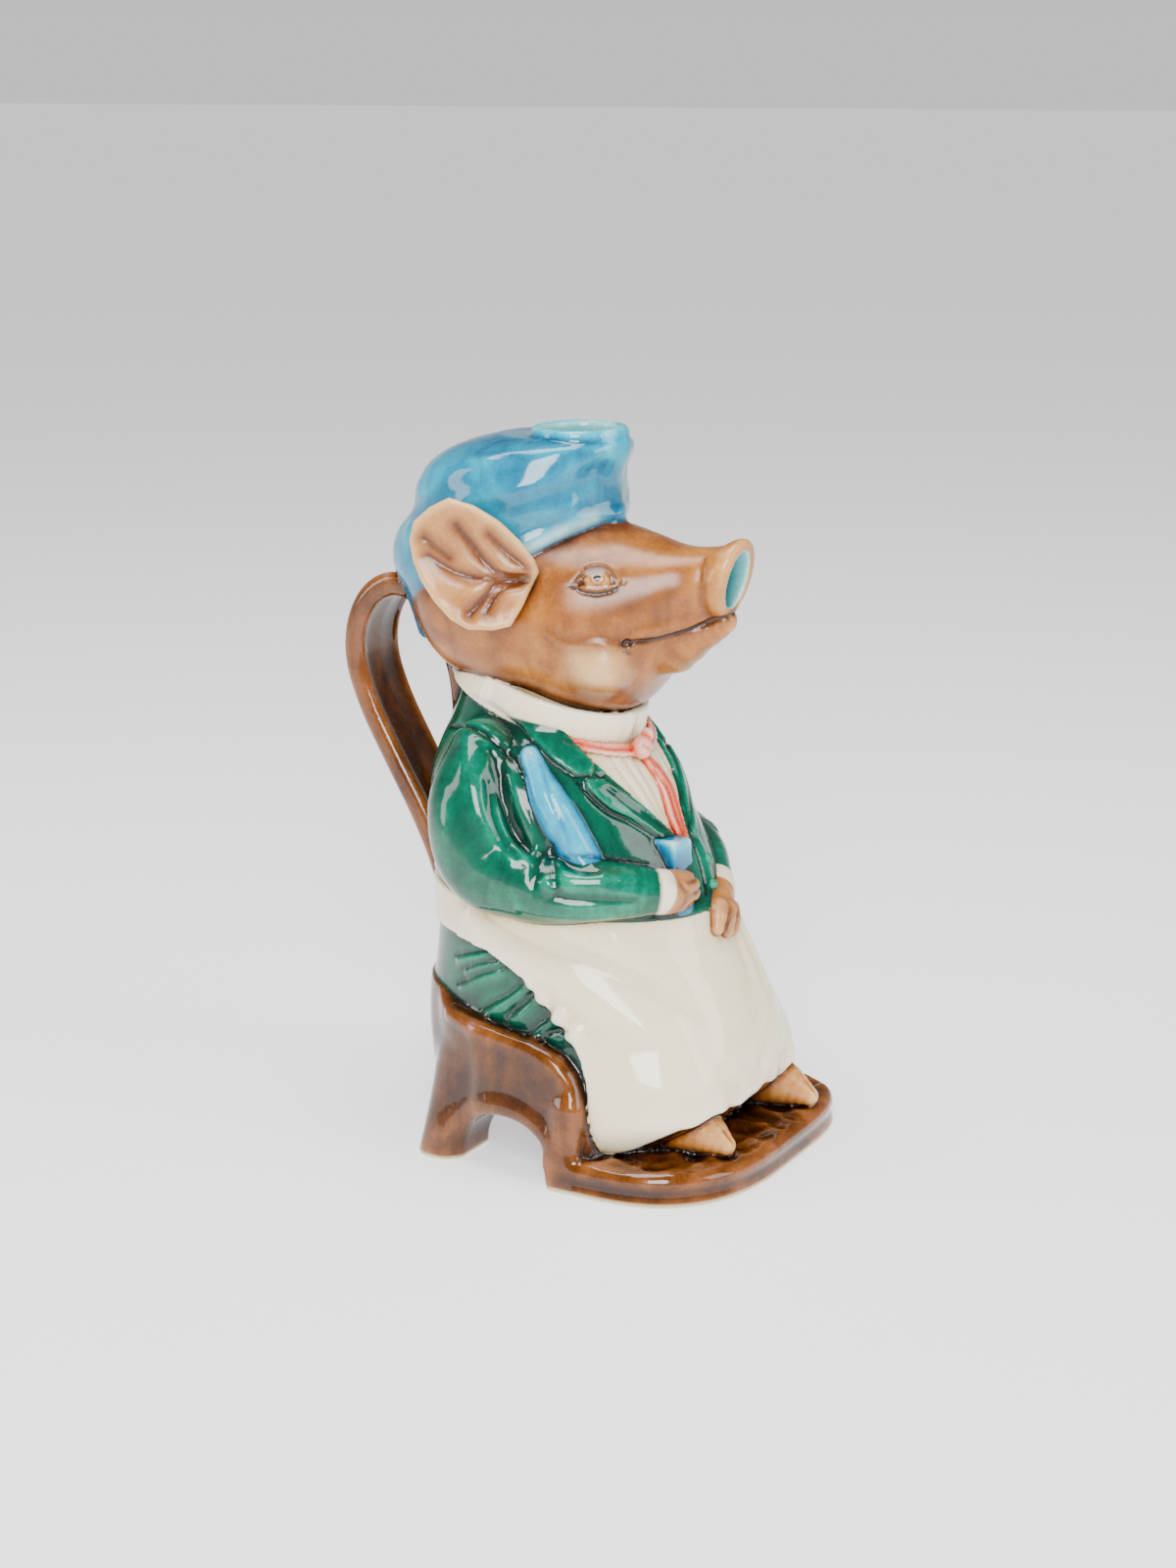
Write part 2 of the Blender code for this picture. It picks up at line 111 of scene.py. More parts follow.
def sliced(table, inset):
    # the distance across a form's slices: place, centre, half width, half depth, squareness
    change = np.gradient(table[:, 1:], table[:, 0], axis=0)

    def distance(u, place, v):
        level = np.clip(place, table[0, 0], table[-1, 0])
        centre, w, d, n = (np.interp(level, table[:, 0], table[:, k]) for k in (1, 2, 3, 4))
        centreS, wS, dS = (np.interp(level, table[:, 0], change[:, k]) for k in (0, 1, 2))
        w, d, v = w - inset, d - inset, v - centre

        def slope(au, av, gu, gv, v):
            return -gu * au * wS / w - gv * (np.sign(v) * centreS / d + av * dS / d)

        return ovalDistance(u, v, w, d, n, slope)

    return distance


def tower(rows, inset=0.0, edge=1.0):
    # sliced level by level: height, y of centre, half width, half depth, squareness
    table = fairTable(rows)
    sideOf = sliced(table, inset)
    bottom, top = table[0, 0], table[-1, 0]

    def distance(x, y, z):
        return roundedBoth(sideOf(x, z, y), np.maximum(z - top, bottom - z), edge)

    wide, deep = table[:, 2].max(), table[:, 3].max()
    low = (-wide, (table[:, 1] - deep).min(), bottom)
    return form(distance, low, (wide, (table[:, 1] + deep).max(), top))


def barrel(rows, inset=0.0, lean=0.24):
    # sliced from front to back: y, z of centre, half width, half height, squareness
    table = fairTable(rows)
    sideOf = sliced(table, inset)
    front, back = table[0, 0], table[-1, 0]

    def distance(x, y, z):
        tip = lean * np.clip((-30 - y) / 30, 0, 1)  # the slices lean more and more towards the snout's end
        y = y + (z - np.interp(y, table[:, 0], table[:, 1])) * tip
        return roundedBoth(sideOf(x, y, z), np.maximum(y - back, front - y), 1.0)

    wide, tall = table[:, 2].max(), table[:, 3].max()
    low = (-wide, front - 5, (table[:, 1] - table[:, 3]).min())
    return form(distance, low, (wide, back + 2, (table[:, 1] + tall).max()))


def ball(centre, radii):
    c, r = np.array(centre, float), np.array(radii, float) * np.ones(3)

    def distance(x, y, z):
        p = (x - c[0]) / r[0], (y - c[1]) / r[1], (z - c[2]) / r[2]
        k0 = np.sqrt(p[0] ** 2 + p[1] ** 2 + p[2] ** 2)
        k1 = np.sqrt((p[0] / r[0]) ** 2 + (p[1] / r[1]) ** 2 + (p[2] / r[2]) ** 2) + 1e-6
        return k0 * (k0 - 1) / k1

    return form(distance, c - r, c + r)


def chain(rows, far=4.0):
    # a round roll of clay through rows x, y, z, radius, taken as straight pieces
    rows = np.array(rows, float)

    def piece(a, b, x, y, z):
        ab = b[:3] - a[:3]
        px, py, pz = x - a[0], y - a[1], z - a[2]
        t = np.clip((px * ab[0] + py * ab[1] + pz * ab[2]) / max(ab @ ab, 1e-9), 0, 1)
        gap = np.sqrt((px - t * ab[0]) ** 2 + (py - t * ab[1]) ** 2 + (pz - t * ab[2]) ** 2)
        return gap - (a[3] + (b[3] - a[3]) * t)

    def distance(x, y, z):
        gridded = np.ndim(x) == 3 and np.all(np.diff(np.ravel(x)) > 0)
        if not gridded:
            best = far
            for a, b in zip(rows, rows[1:]):
                best = np.minimum(best, piece(a, b, x, y, z))
            return best
        axes = [np.ravel(x), np.ravel(y), np.ravel(z)]
        best = np.full([len(axis) for axis in axes], far)
        for a, b in zip(rows, rows[1:]):
            reach = max(a[3], b[3]) + far
            ends = [(min(p, q) - reach, max(p, q) + reach) for p, q in zip(a[:3], b[:3])]
            spans = [slice(*np.searchsorted(axis, pair)) for axis, pair in zip(axes, ends)]
            if all(span.stop > span.start for span in spans):
                gap = piece(a, b, x[spans[0]], y[:, spans[1]], z[:, :, spans[2]])
                best[tuple(spans)] = np.minimum(best[tuple(spans)], gap)
        return best

    reach = rows[:, 3:4]
    return form(distance, (rows[:, :3] - reach).min(0), (rows[:, :3] + reach).max(0))


def evenly(points, step):
    rows = np.array(points, float)
    run = np.concatenate([[0], np.cumsum(np.linalg.norm(np.diff(rows[:, :3], axis=0), axis=1))])
    count = max(3, int(run[-1] / step) + 1)
    if len(rows) == 2:
        return rows[0] + (rows[1] - rows[0]) * np.linspace(0, 1, count)[:, None]
    return fairTable(np.hstack([run[:, None], rows]), count)[:, 1:]


def rope(points, step=3.0, far=4.0):
    return chain(evenly(points, step) if len(points) > 2 else points, far)


def form(distance, low, high):
    return {"at": distance, "low": np.array(low, float), "high": np.array(high, float)}


def twin(shape):
    # the same shape on both sides of the pig, given on its right side
    reach = max(abs(shape["low"][0]), abs(shape["high"][0]))
    low, high = shape["low"].copy(), shape["high"].copy()
    low[0], high[0] = -reach, reach
    return form(lambda x, y, z: shape["at"](-np.abs(x), y, z), low, high)


def layer(under, rise, region):
    # a layer of clay laid on another form, as far as the region goes
    def distance(x, y, z):
        return roundedBoth(under["at"](x, y, z) - rise, region["at"](x, y, z), 0.5)

    return form(distance, region["low"], region["high"])


def mirrored(shape, x, y, z):
    # the distance as seen from the pig's other side; along a grid x has to keep rising
    if np.ndim(x) == 3:
        return shape["at"](-x[::-1], y, z)[::-1]
    return shape["at"](-x, y, z)


def loopDistance(u, v, points):
    # signed distance to a closed outline in the plane
    best, inside = None, None
    for (au, av), (bu, bv) in zip(points, np.roll(points, -1, axis=0)):
        eu, ev = bu - au, bv - av
        t = np.clip(((u - au) * eu + (v - av) * ev) / (eu * eu + ev * ev), 0, 1)
        gap = np.hypot(u - au - t * eu, v - av - t * ev)
        crosses = ((av > v) != (bv > v)) & (u < au + (v - av) * eu / (ev if abs(ev) > 1e-9 else 1e-9))
        best = gap if best is None else np.minimum(best, gap)
        inside = crosses if inside is None else inside ^ crosses
    return np.where(inside, -best, best)


work = []  # every piece of clay put on, cut away or drawn, in the order of making


def add(zone, shape, blend=0.6):
    work.append({"zone": zone, "shape": shape, "blend": blend, "cut": False})


def cut(shape, blend=0.5, zone=None):
    work.append({"zone": zone, "shape": shape, "blend": blend, "cut": True})


def drawLine(points, **settings):
    # a line that settles onto the surface of the clay as it stands when the line is drawn
    for side in (1, -1) if settings.pop("both", True) else (1,):
        path = [(x * side, *rest) for x, *rest in points]
        work.append({"zone": None, "path": path, "ink": 0.0, "stain": 0.0, **settings})


# a groove also darkens along its line: a dark painted line with painted shade in the groove, and a brown tint
# with painted shade around it
def groove(points, radius=0.8, depth=0.7, ink=0.6, stain=0.0, both=True, blend=0.6):
    drawLine(points, radius=radius, rise=-depth, ink=ink, stain=stain, both=both, blend=blend, cut=True)


def ridge(points, radius=1.5, height=0.5, zone=None, both=True, blend=1.0, stain=0.0):
    drawLine(points, radius=radius, rise=height, zone=zone, both=both, blend=blend, stain=stain, cut=False)


# stool, ground plate and handle are brown
stool = {"archWidth": 37.5, "archHeight": 20.0, "archCentre": -6.3, "rearGap": 64.0, "mouldingHeight": 1.0}
plate = {"top": 12.0, "centre": -37.0, "halfWidth": 60.0, "halfDepth": 52.0, "ripple": 0.5}
handle = {"width": 26.0, "thickness": 8.4, "rim": 0.9}
# the seat's top edge, as y and height
seatTop = [(-46, 11), (-41.5, 15), (-39, 24), (-36.5, 34), (-33, 40.5), (-28, 44.8), (-18, 48.3), (-5, 50.2),
           (11, 52.4), (20, 54), (28, 56), (45, 57)]


def makePlate():
    def distance(x, y, z):
        right = ovalDistance(x, y - plate["centre"], plate["halfWidth"], plate["halfDepth"], 2.8)
        left = ovalDistance(x, y - plate["centre"], plate["halfWidth"], plate["halfDepth"], 4.4)
        side = np.where(x > 0, left, right)
        broad = 0.16 * x + 0.13 * y + 1.5 * np.sin(0.13 * y - 0.07 * x + 0.6)
        fine = 0.21 * y - 0.17 * x + 1.4 * np.sin(0.17 * x + 0.08 * y + 1)
        swirl = 1.1 - 2.2 * np.abs(np.sin(broad))
        swirl = swirl + 0.8 - 1.6 * np.abs(np.sin(fine))
        swirl = swirl + 0.5 * np.sin(0.62 * x + 0.35 * y + 1.2 * np.sin(0.4 * y))
        rock = plate["ripple"] * swirl * np.clip(-side / 8, 0, 1)
        waist = 1.1 * np.exp(-(((z - 4.5) / 2.6) ** 2))  # a shallow hollow round the edge
        return roundedBoth(side + waist, z - plate["top"] - rock + 0.4, 4.8)

    return form(distance, (-60, -90, -2), (60, 16, 15))


def makeStrap():
    route = [(36, 150), (38, 164), (44, 179), (53, 189), (64, 192.5), (74, 188), (80.5, 177), (81.5, 163)]
    route += [(76, 147), (66, 129), (56, 112), (48.5, 97), (43, 82)]
    path = fairTable([(k, *p) for k, p in enumerate(route)], 50)[:, 1:]

    def distance(x, y, z):
        best = None
        for a, b in zip(path, path[1:]):
            e = b - a
            t = np.clip(((y - a[0]) * e[0] + (z - a[1]) * e[1]) / (e @ e), 0, 1)
            gap = np.hypot(y - a[0] - t * e[0], z - a[1] - t * e[1])
            best = gap if best is None else np.minimum(best, gap)
        rim = handle["rim"] * np.exp(-(((np.abs(x) - 10.4) / 1.7) ** 2))
        half = handle["thickness"] / 2 - 0.9 + rim + 0.35 * np.exp(-((x / 3.0) ** 2))
        return roundedBoth(best - half, np.abs(x) - handle["width"] / 2, 2.4)

    return form(distance, (-13.5, 36, 78), (13.5, 88, 198))


def makeStool():
    behind = tower([(-4, -2, 57, 42, 2.6), (8, -2, 55.5, 40, 2.5), (20, -1, 54, 38, 2.4),
                    (34, 0, 53.5, 38, 2.3), (46, 0, 53.5, 39, 2.3), (62, 0, 53, 38.5, 2.3)])
    before = tower([(-4, -16, 57.5, 29, 6), (14, -16, 56, 28, 6), (30, -15, 55.5, 27, 6),
                    (40, -12, 55, 25, 6), (46, -9, 54.5, 23, 6), (62, -6, 54, 21, 5.5)])
    edge = np.array(seatTop)
    slopes = np.gradient(edge[:, 1], edge[:, 0])

    def seat(x, y, z):
        body = softMin(behind["at"](x, y, z), before["at"](x, y, z), 1.5)
        top = (z - np.interp(y, edge[:, 0], edge[:, 1])) / np.sqrt(1 + np.interp(y, edge[:, 0], slopes) ** 2)
        return roundedBoth(body, top, 3.0)

    add("brown", form(seat, (-58, -46, -4), (58, 44, 58)))
    foot = rope([(-38, 16, 30, 13), (-44, 20, 14, 9.5), (-49, 23, -2, 8)])
    add("brown", twin(foot), 4)
    add("brown", twin(rope([(-53, -31, 27, 4.5), (-54, -30.5, 14, 5.5), (-54.5, -30, 2, 5.5)])), 4)
    add("brown", rope([(0, 32, 44, 10), (0, 36, 60, 12), (0, 39, 84, 10)]), 5)
    rim = [(-47, 19, 51), (-53, 7, 50.5), (-54, -9, 48), (-54, -22, 45), (-54, -29, 41), (-54.5, -33, 33),
           (-55, -34.5, 20), (-57, -36, 13)]
    ridge(rim, radius=2.8, height=0.2, blend=3.0)
    arch = [(-56, -5.5 + 23.0 * math.cos(a), 1 + 22.5 * math.sin(a) ** 0.8)
            for a in np.linspace(0.04, math.pi - 0.04, 17)]
    ridge(arch, radius=5.0, height=stool["mouldingHeight"], blend=4.0)


add("brown", makePlate())
makeStool()


def cutBelow():
    # the arch from side to side under the seat, and the gap between the rear feet
    n, half, tall = 2.3, stool["archWidth"] / 2, stool["archHeight"]
    through = form(lambda x, y, z: ovalDistance(y - stool["archCentre"], z, half, tall, n) + x * 0,
                   (-70, -27, -4), (70, 16, 22))
    gap = stool["rearGap"] / 2

    def tunnel(x, y, z):
        return roundedBoth(ovalDistance(x, z, gap, tall, 2.6) + y * 0, -5 - y, 1.0)

    behind = form(tunnel, (-gap - 1, -6, -4), (gap + 1, 60, 22))
    cut(through, 5.0)
    cut(behind, 3.5)


# lap and trunk: height, y of centre, half width, half depth, squareness
lapRows = [
    (9, -15, 46, 44, 3.0), (16, -17, 49, 50, 3.2), (24, -20, 50, 55.0, 3.8), (34, -18.5, 49.5, 58.0, 3.3),
    (49, -14.5, 48, 60, 2.5), (65, -11, 46.5, 57, 2.2), (76, -8.6, 46, 54, 2.1), (90, -6, 43.5, 51, 2.0),
]
trunkRows = [
    (82, -5.5, 43, 51.5, 2.0), (92, -4.5, 44.5, 50.5, 2.0), (104, -2, 45, 48, 2.0), (118, 2, 45, 44.5, 2.0),
    (132, 5, 43, 40.5, 2.0), (142, 7, 37.5, 35.5, 2.0), (150, 8, 31, 31.5, 2.0), (160, 8, 27.5, 28.5, 2.0),
    (172, 8, 26.5, 27.5, 2.0),
]
lap = tower(lapRows)
trunk = tower(trunkRows)
figure = form(
    lambda x, y, z: softMin(lap["at"](x, y, z), trunk["at"](x, y, z), 3),
    lap["low"],
    np.maximum(lap["high"], trunk["high"]),
)

# the jacket's neck opening: heights, and how far it reaches to the pig's right and left
veeHeights = [104, 109, 113, 116, 124, 135, 146, 155, 160]
veeRight = [2.0, 2.4, 3.6, 5.2, 12.6, 19.6, 24, 27.5, 30]
veeLeft = [-2.0, -1.8, -0.2, 4.5, 11.2, 17.5, 21.8, 27, 30]
jacket = {"rise": 1.5, "hem": 90.0, "lapelRise": 2.7}
apron = {"rise": 1.9, "foldHeight": 1.35}


def makeJacket():
    def shell(x, y, z):
        body = figure["at"](x, y, z) - jacket["rise"] - 0.9 * np.exp(-(((z - 91) / 4) ** 2))
        vee = np.maximum(x - np.interp(z, veeHeights, veeLeft), -x - np.interp(z, veeHeights, veeRight))
        vee = np.where(y < 8, vee, 6.0) * 0.85
        hem = jacket["hem"] + 0.06 * (y + 50) - z + 5.5 * np.clip((x + 3) / 9, 0, 1) * (y < 0)
        top = z - np.interp(y, [-30, -13, -4, 9, 22, 40], [147, 155, 161, 167, 169.5, 171])
        return np.maximum(roundedBoth(body, np.maximum(hem, top), 0.7), -vee)

    add("green", form(shell, (-50, -62, 84), (50, 46, 174)), 0.3)
    upper = rope([(-10, 37, 168, 4.5), (-22, 31, 167, 4.5), (-28.5, 20, 164.5, 4.6), (-30.5, 8, 161.5, 4.8),
                  (-30.5, -2, 157, 5.0), (-29.5, -10, 150, 5.2), (-28, -17, 144, 5.0),
                  (-27, -22, 140.5, 4.0)])
    add("green", twin(layer(trunk, jacket["lapelRise"], upper)), 0.4)
    lower = rope([(-27, -26.5, 135.5, 3.0), (-25, -31, 131.5, 3.9), (-19.5, -37.2, 126, 4.0),
                  (-13.5, -42.3, 119.5, 3.6), (-7.5, -46.2, 113, 2.4)])
    add("green", twin(layer(trunk, jacket["lapelRise"], lower)), 0.4)
    upperEdge = [(-21, 34, 166), (-29, 22, 161.4), (-33, 8, 158.3), (-34.5, -2, 152), (-34, -9, 146.6),
                 (-32.5, -15, 141.5), (-31, -21, 137.8)]
    groove(upperEdge, 1.0, 0.8, ink=0.55)
    groove([(-31, -21, 137.8), (-29, -24.5, 138.2), (-26.2, -27.5, 138.4), (-22.5, -30, 139)], 0.9, 0.8,
           ink=0.6)
    groove([(-31, -22, 136), (-30, -27, 131.5), (-27.5, -31.5, 126.8), (-22.5, -37.5, 122.5),
            (-17, -42.5, 118), (-11, -46.5, 113.5)], 1.2, 0.9, ink=0.6)
    groove([(-24.5, -30.5, 133.5), (-19.5, -36, 127.5), (-13, -41.5, 120.5), (-7, -45.5, 114)], 1.3, 0.6,
           ink=0.35, blend=1.0)
    ridge([(-23, -33.5, 131.5), (-17, -39, 124.8), (-11, -43.6, 117.8), (-6, -46.8, 112.5)], 1.2, 0.4)
    # where the fronts meet, and a fold over the left one
    groove([(3.5, -46.5, 111), (3.2, -49.5, 105.5), (1.8, -52, 100), (-0.8, -55.5, 93)], 0.9, 0.9, ink=0.75,
           both=False)
    ridge([(7.5, -46, 111), (8, -49, 105.5), (6.5, -52, 100), (4, -55.5, 94)], 2.2, 0.5, both=False,
          blend=1.5)
    groove([(0, 46, 160), (0, 46, 140), (0, 47, 120), (0, 47, 100)], 0.8, 0.6, ink=0.6, both=False)


def makeApron():
    # each fold: height, width, whether on both sides, and its points
    folds = [
        (1.6, 5.0, True, [(-44, 14, 85.5), (-46.9, -4, 77.4), (-45.6, -20.2, 70.6), (-42, -33.6, 65.3),
                          (-38.5, -44, 58.5), (-34.5, -53, 54), (-31.5, -60, 48.5), (-30.5, -66.5, 39.5),
                          (-27, -71.5, 30)]),
        (-1.4, 4.6, True, [(-43.5, 4, 88.3), (-43.5, -19, 82), (-39.5, -33, 77.3), (-35, -44.5, 71.5),
                           (-29, -54.5, 64), (-24.5, -61.5, 55.5), (-24, -66, 45.5), (-23, -71, 36),
                           (-19, -76, 30)]),
        (0.9, 3.0, False, [(-34, -40, 83), (-28.5, -47.5, 79.5), (-23.5, -54, 75.5), (-20.5, -59, 69.5),
                           (-16, -63.5, 65)]),
        (0.8, 2.2, False, [(-15.5, -65.5, 56.5), (-12, -67.5, 57.5), (-7, -69.5, 54.5), (-2.5, -71.5, 51.5)]),
        (-0.9, 3.2, False, [(-16, -63, 62), (-8, -66.5, 59.5), (0, -68, 59.5), (5.5, -66.5, 64.5),
                            (7.5, -62, 76)]),
        (1.0, 2.8, False, [(9.5, -61.5, 78), (10.5, -66, 67), (8, -69.5, 58), (1, -73, 49), (-7, -74.5, 42)]),
        (-0.8, 2.6, False, [(14.5, -60.5, 78), (16, -65.5, 66), (13.5, -70, 55), (6, -74.5, 44),
                            (-2, -76, 37)]),
        (1.0, 2.8, False, [(19.5, -58.5, 80), (21.5, -64, 66), (19.5, -69.5, 54), (12.5, -75, 41),
                           (3, -77.5, 33.5)]),
        (0.9, 3.0, False, [(30, -50, 80), (33, -57, 64), (32, -63.5, 48), (26, -71, 34)]),
    ]
    lines = []
    for height, width, both, points in folds:
        lines.append((height, width, both, rope([(*p, 0.0) for p in points], 5, far=14.0)))

    def sheet(x, y, z):
        relief = 0.0
        for height, width, both, line in lines:
            gap = line["at"](x, y, z)
            if both:
                gap = np.minimum(gap, mirrored(line, x, y, z))
            relief = relief + apron["foldHeight"] * height * np.exp(-((gap / width) ** 2))
        body = figure["at"](x, y, z) - apron["rise"] - np.clip(relief, 0.9 - apron["rise"], 3)
        side = y - np.interp(z, [12, 14, 22, 36, 44, 53, 60, 68, 73, 76.5, 78, 79],
                             [-40, -40.5, -39, -37, -34, -29, -21, -13, -5, 3, 20, 60])
        hem = np.interp(y, [-80, -77, -68, -62, -52, -41, -30], [26.5, 26, 24, 20.5, 14.5, 10.5, 8]) - z
        hem = hem + 0.7 * np.sin(x * 0.21 + 1.0) + 0.4 * np.sin(x * 0.55)
        return roundedBoth(body, np.maximum(np.maximum(side * 0.75, hem), z - 93), 0.6)

    add("cream", form(sheet, (-55, -85, 10), (55, 50, 94)), 0.3)

    def below(x, y, z):
        # the dark ground under the apron's hem
        return np.maximum(np.maximum(lap["at"](x, y, z) - 0.2, z - 28), y + 38)

    add("brown", form(below, (-52, -82, 8), (52, -36, 29)), 0.1)
    creases = [
        [(-39, 22.2, 69.7), (-43.5, 14, 73.5), (-46.2, 6, 76.4)],
               [(-41.5, 17.4, 66.6), (-45, 9, 71), (-47.3, 1.2, 73.8)],
               [(-41.1, 19.9, 60.4), (-45.5, 9, 67), (-47.7, -2.1, 71.7)],
               [(-47.1, 7.8, 55), (-48.5, -3, 62.5), (-48, -11.5, 69.8)],
               [(-49.1, -3.8, 54.9), (-49, -9.5, 60), (-48.2, -14.6, 64.9)],
               [(-50.3, -12.8, 52.3), (-49.5, -18.5, 56.5), (-48.1, -23.6, 61)],
               [(-49.5, -20.4, 51.6), (-49.2, -25, 53.2), (-48.3, -29.7, 53.9)], ]
    for points in creases:
        ridge([(x, y - 3.2, z - 1.2) for x, y, z in points], 3.0, 0.6, blend=2.8)
    for points in creases:
        groove(points, 1.1, 0.8, ink=0.35, blend=1.4)


add("green", lap)
add("cream", trunk)


def seatBack(x, y, z):
    # behind the figure the brown of the seat reaches up to its top edge
    edge = np.array(seatTop)
    return np.maximum(z - np.interp(y, edge[:, 0], edge[:, 1]) - 0.5, 4 - y) + x * 0


add("brown", layer(lap, 1.3, form(seatBack, (-55, 3, 9), (55, 50, 60))), 1.5)
makeApron()
makeJacket()

# collar and cravat
collar = {"halfHeight": 5.3, "thickness": 1.5, "lean": math.atan2(21, 68)}
cravat = {"rise": 2.3}


def makeCollar():
    c, s = math.cos(collar["lean"]), math.sin(collar["lean"])

    def distance(x, y, z):
        v, w = y - 5.5, z - 160
        across, upward = v * c + w * s, w * c - v * s
        ring = np.abs(ovalDistance(x, across, 29.3 - upward * 0.12, 33.8 - upward * 0.12, 2.0))
        return roundedBoth(ring - collar["thickness"], np.abs(upward) - collar["halfHeight"], 0.8)

    add("cream", form(distance, (-34, -34, 143), (34, 46, 176)), 0.5)
    groove([(0.8, -30, 156), (-0.6, -30.5, 151), (-2.6, -30, 146)], 0.9, 0.9, ink=0.35, both=False)
    ridge([(-5, -29.5, 156), (-4.6, -30, 151), (-5.5, -29.5, 147)], 1.6, 0.5, both=False)


def makeCravat():
    shirtFolds = [
        [(-16, -27.5, 144), (-13.5, -36, 131), (-9.5, -42, 121.5)],
        [(-11, -30, 143), (-8.5, -38, 129.5), (-6, -43.5, 119)],
        [(-6, -31.5, 141), (-5, -38, 130), (-4.5, -43, 121)],
    ]
    for points in shirtFolds:
        groove(points, 0.9, 0.5, ink=0.16, blend=0.8)
    band = rope([(-31, -8, 152.5, 2.4), (-26.8, -16.5, 149.2, 2.6), (-20.5, -23.5, 146.6, 2.7),
                 (-12, -28.5, 144.4, 2.7), (-4, -31, 142.9, 2.4), (0, -31, 142.6, 2.4)])
    add("coral", twin(layer(trunk, cravat["rise"], band)), 0.4)
    groove([(-28, -15, 150), (-20.5, -23.8, 147), (-11, -29.3, 144.4), (-5, -31, 143.2)], 0.6, 0.5, ink=0.22)
    add("coral", ball((-3.6, -32, 143.4), (3.9, 3.6, 4.2)), 0.8)
    add("coral", ball((0.2, -32, 147), (2.2, 2.4, 2.6)), 0.8)
    groove([(-6.5, -34, 145), (-3.8, -35, 143), (-1.2, -34, 141)], 0.5, 0.4, ink=0.3, both=False)
    tail = rope([(-1.5, -32, 139.8, 1.8), (0.6, -34, 136, 2.6), (2.0, -38.5, 128, 3.9),
                 (0.2, -43.5, 120, 3.9), (-1.3, -47.6, 113, 2.8)])
    add("coral", layer(trunk, 2.5, tail), 0.4)
    groove([(-0.8, -33.5, 138), (0.4, -37.5, 130), (-0.6, -42.5, 121.5), (-1.8, -47, 114)], 0.7, 0.6,
           ink=0.3, both=False)
    groove([(0.8, -34, 137), (3.4, -38.5, 128.5), (2.0, -43.5, 120), (0, -47, 114.5)], 0.6, 0.5, ink=0.25,
           both=False)


makeCollar()
makeCravat()

# sleeves, cuffs, hands, the bottle under the arm and what the fist holds
sleeve = {"foldHeight": 1.0}


def makeBottle():
    body = [(-34.5, -6, 144, 3.6), (-37, -10.2, 138.5, 4.4), (-38.6, -15.2, 131.5, 6.0),
            (-39.2, -20.6, 124.5, 6.7), (-39.4, -25.2, 118.5, 6.6), (-39, -29, 112, 6.6),
            (-38, -32, 106, 6.6)]
    drawLine(body, radius=None, rise=0.34, zone="blue", both=False, blend=0.4, cut=False)
    groove([(-35.5, -8.5, 143), (-38.2, -13.5, 135.5), (-40.5, -20, 127), (-41, -25.5, 118)], 0.9, 0.4,
           ink=0.0, both=False)
    groove([(-37.5, -7.5, 140.5), (-41, -12.5, 132), (-43, -18.5, 123)], 0.9, 0.35, ink=0.0, both=False)

    def block(x, y, z):
        across = np.abs(x + 8.2 + (z - 108.3) * 0.12) - 6.6
        upward = np.abs(z - 108.3 + (x + 8) * 0.12) - 6.2
        return roundedBoth(roundedBoth(across, np.abs(y + 46.8) - 4.4, 1.4), upward, 1.4)

    add("blue", form(block, (-18, -53, 100), (3, -41, 117)), 0.3)
    add("blue", ball((-12.8, -53.6, 91.6), (6.6, 3.4, 2.6)), 0.4)


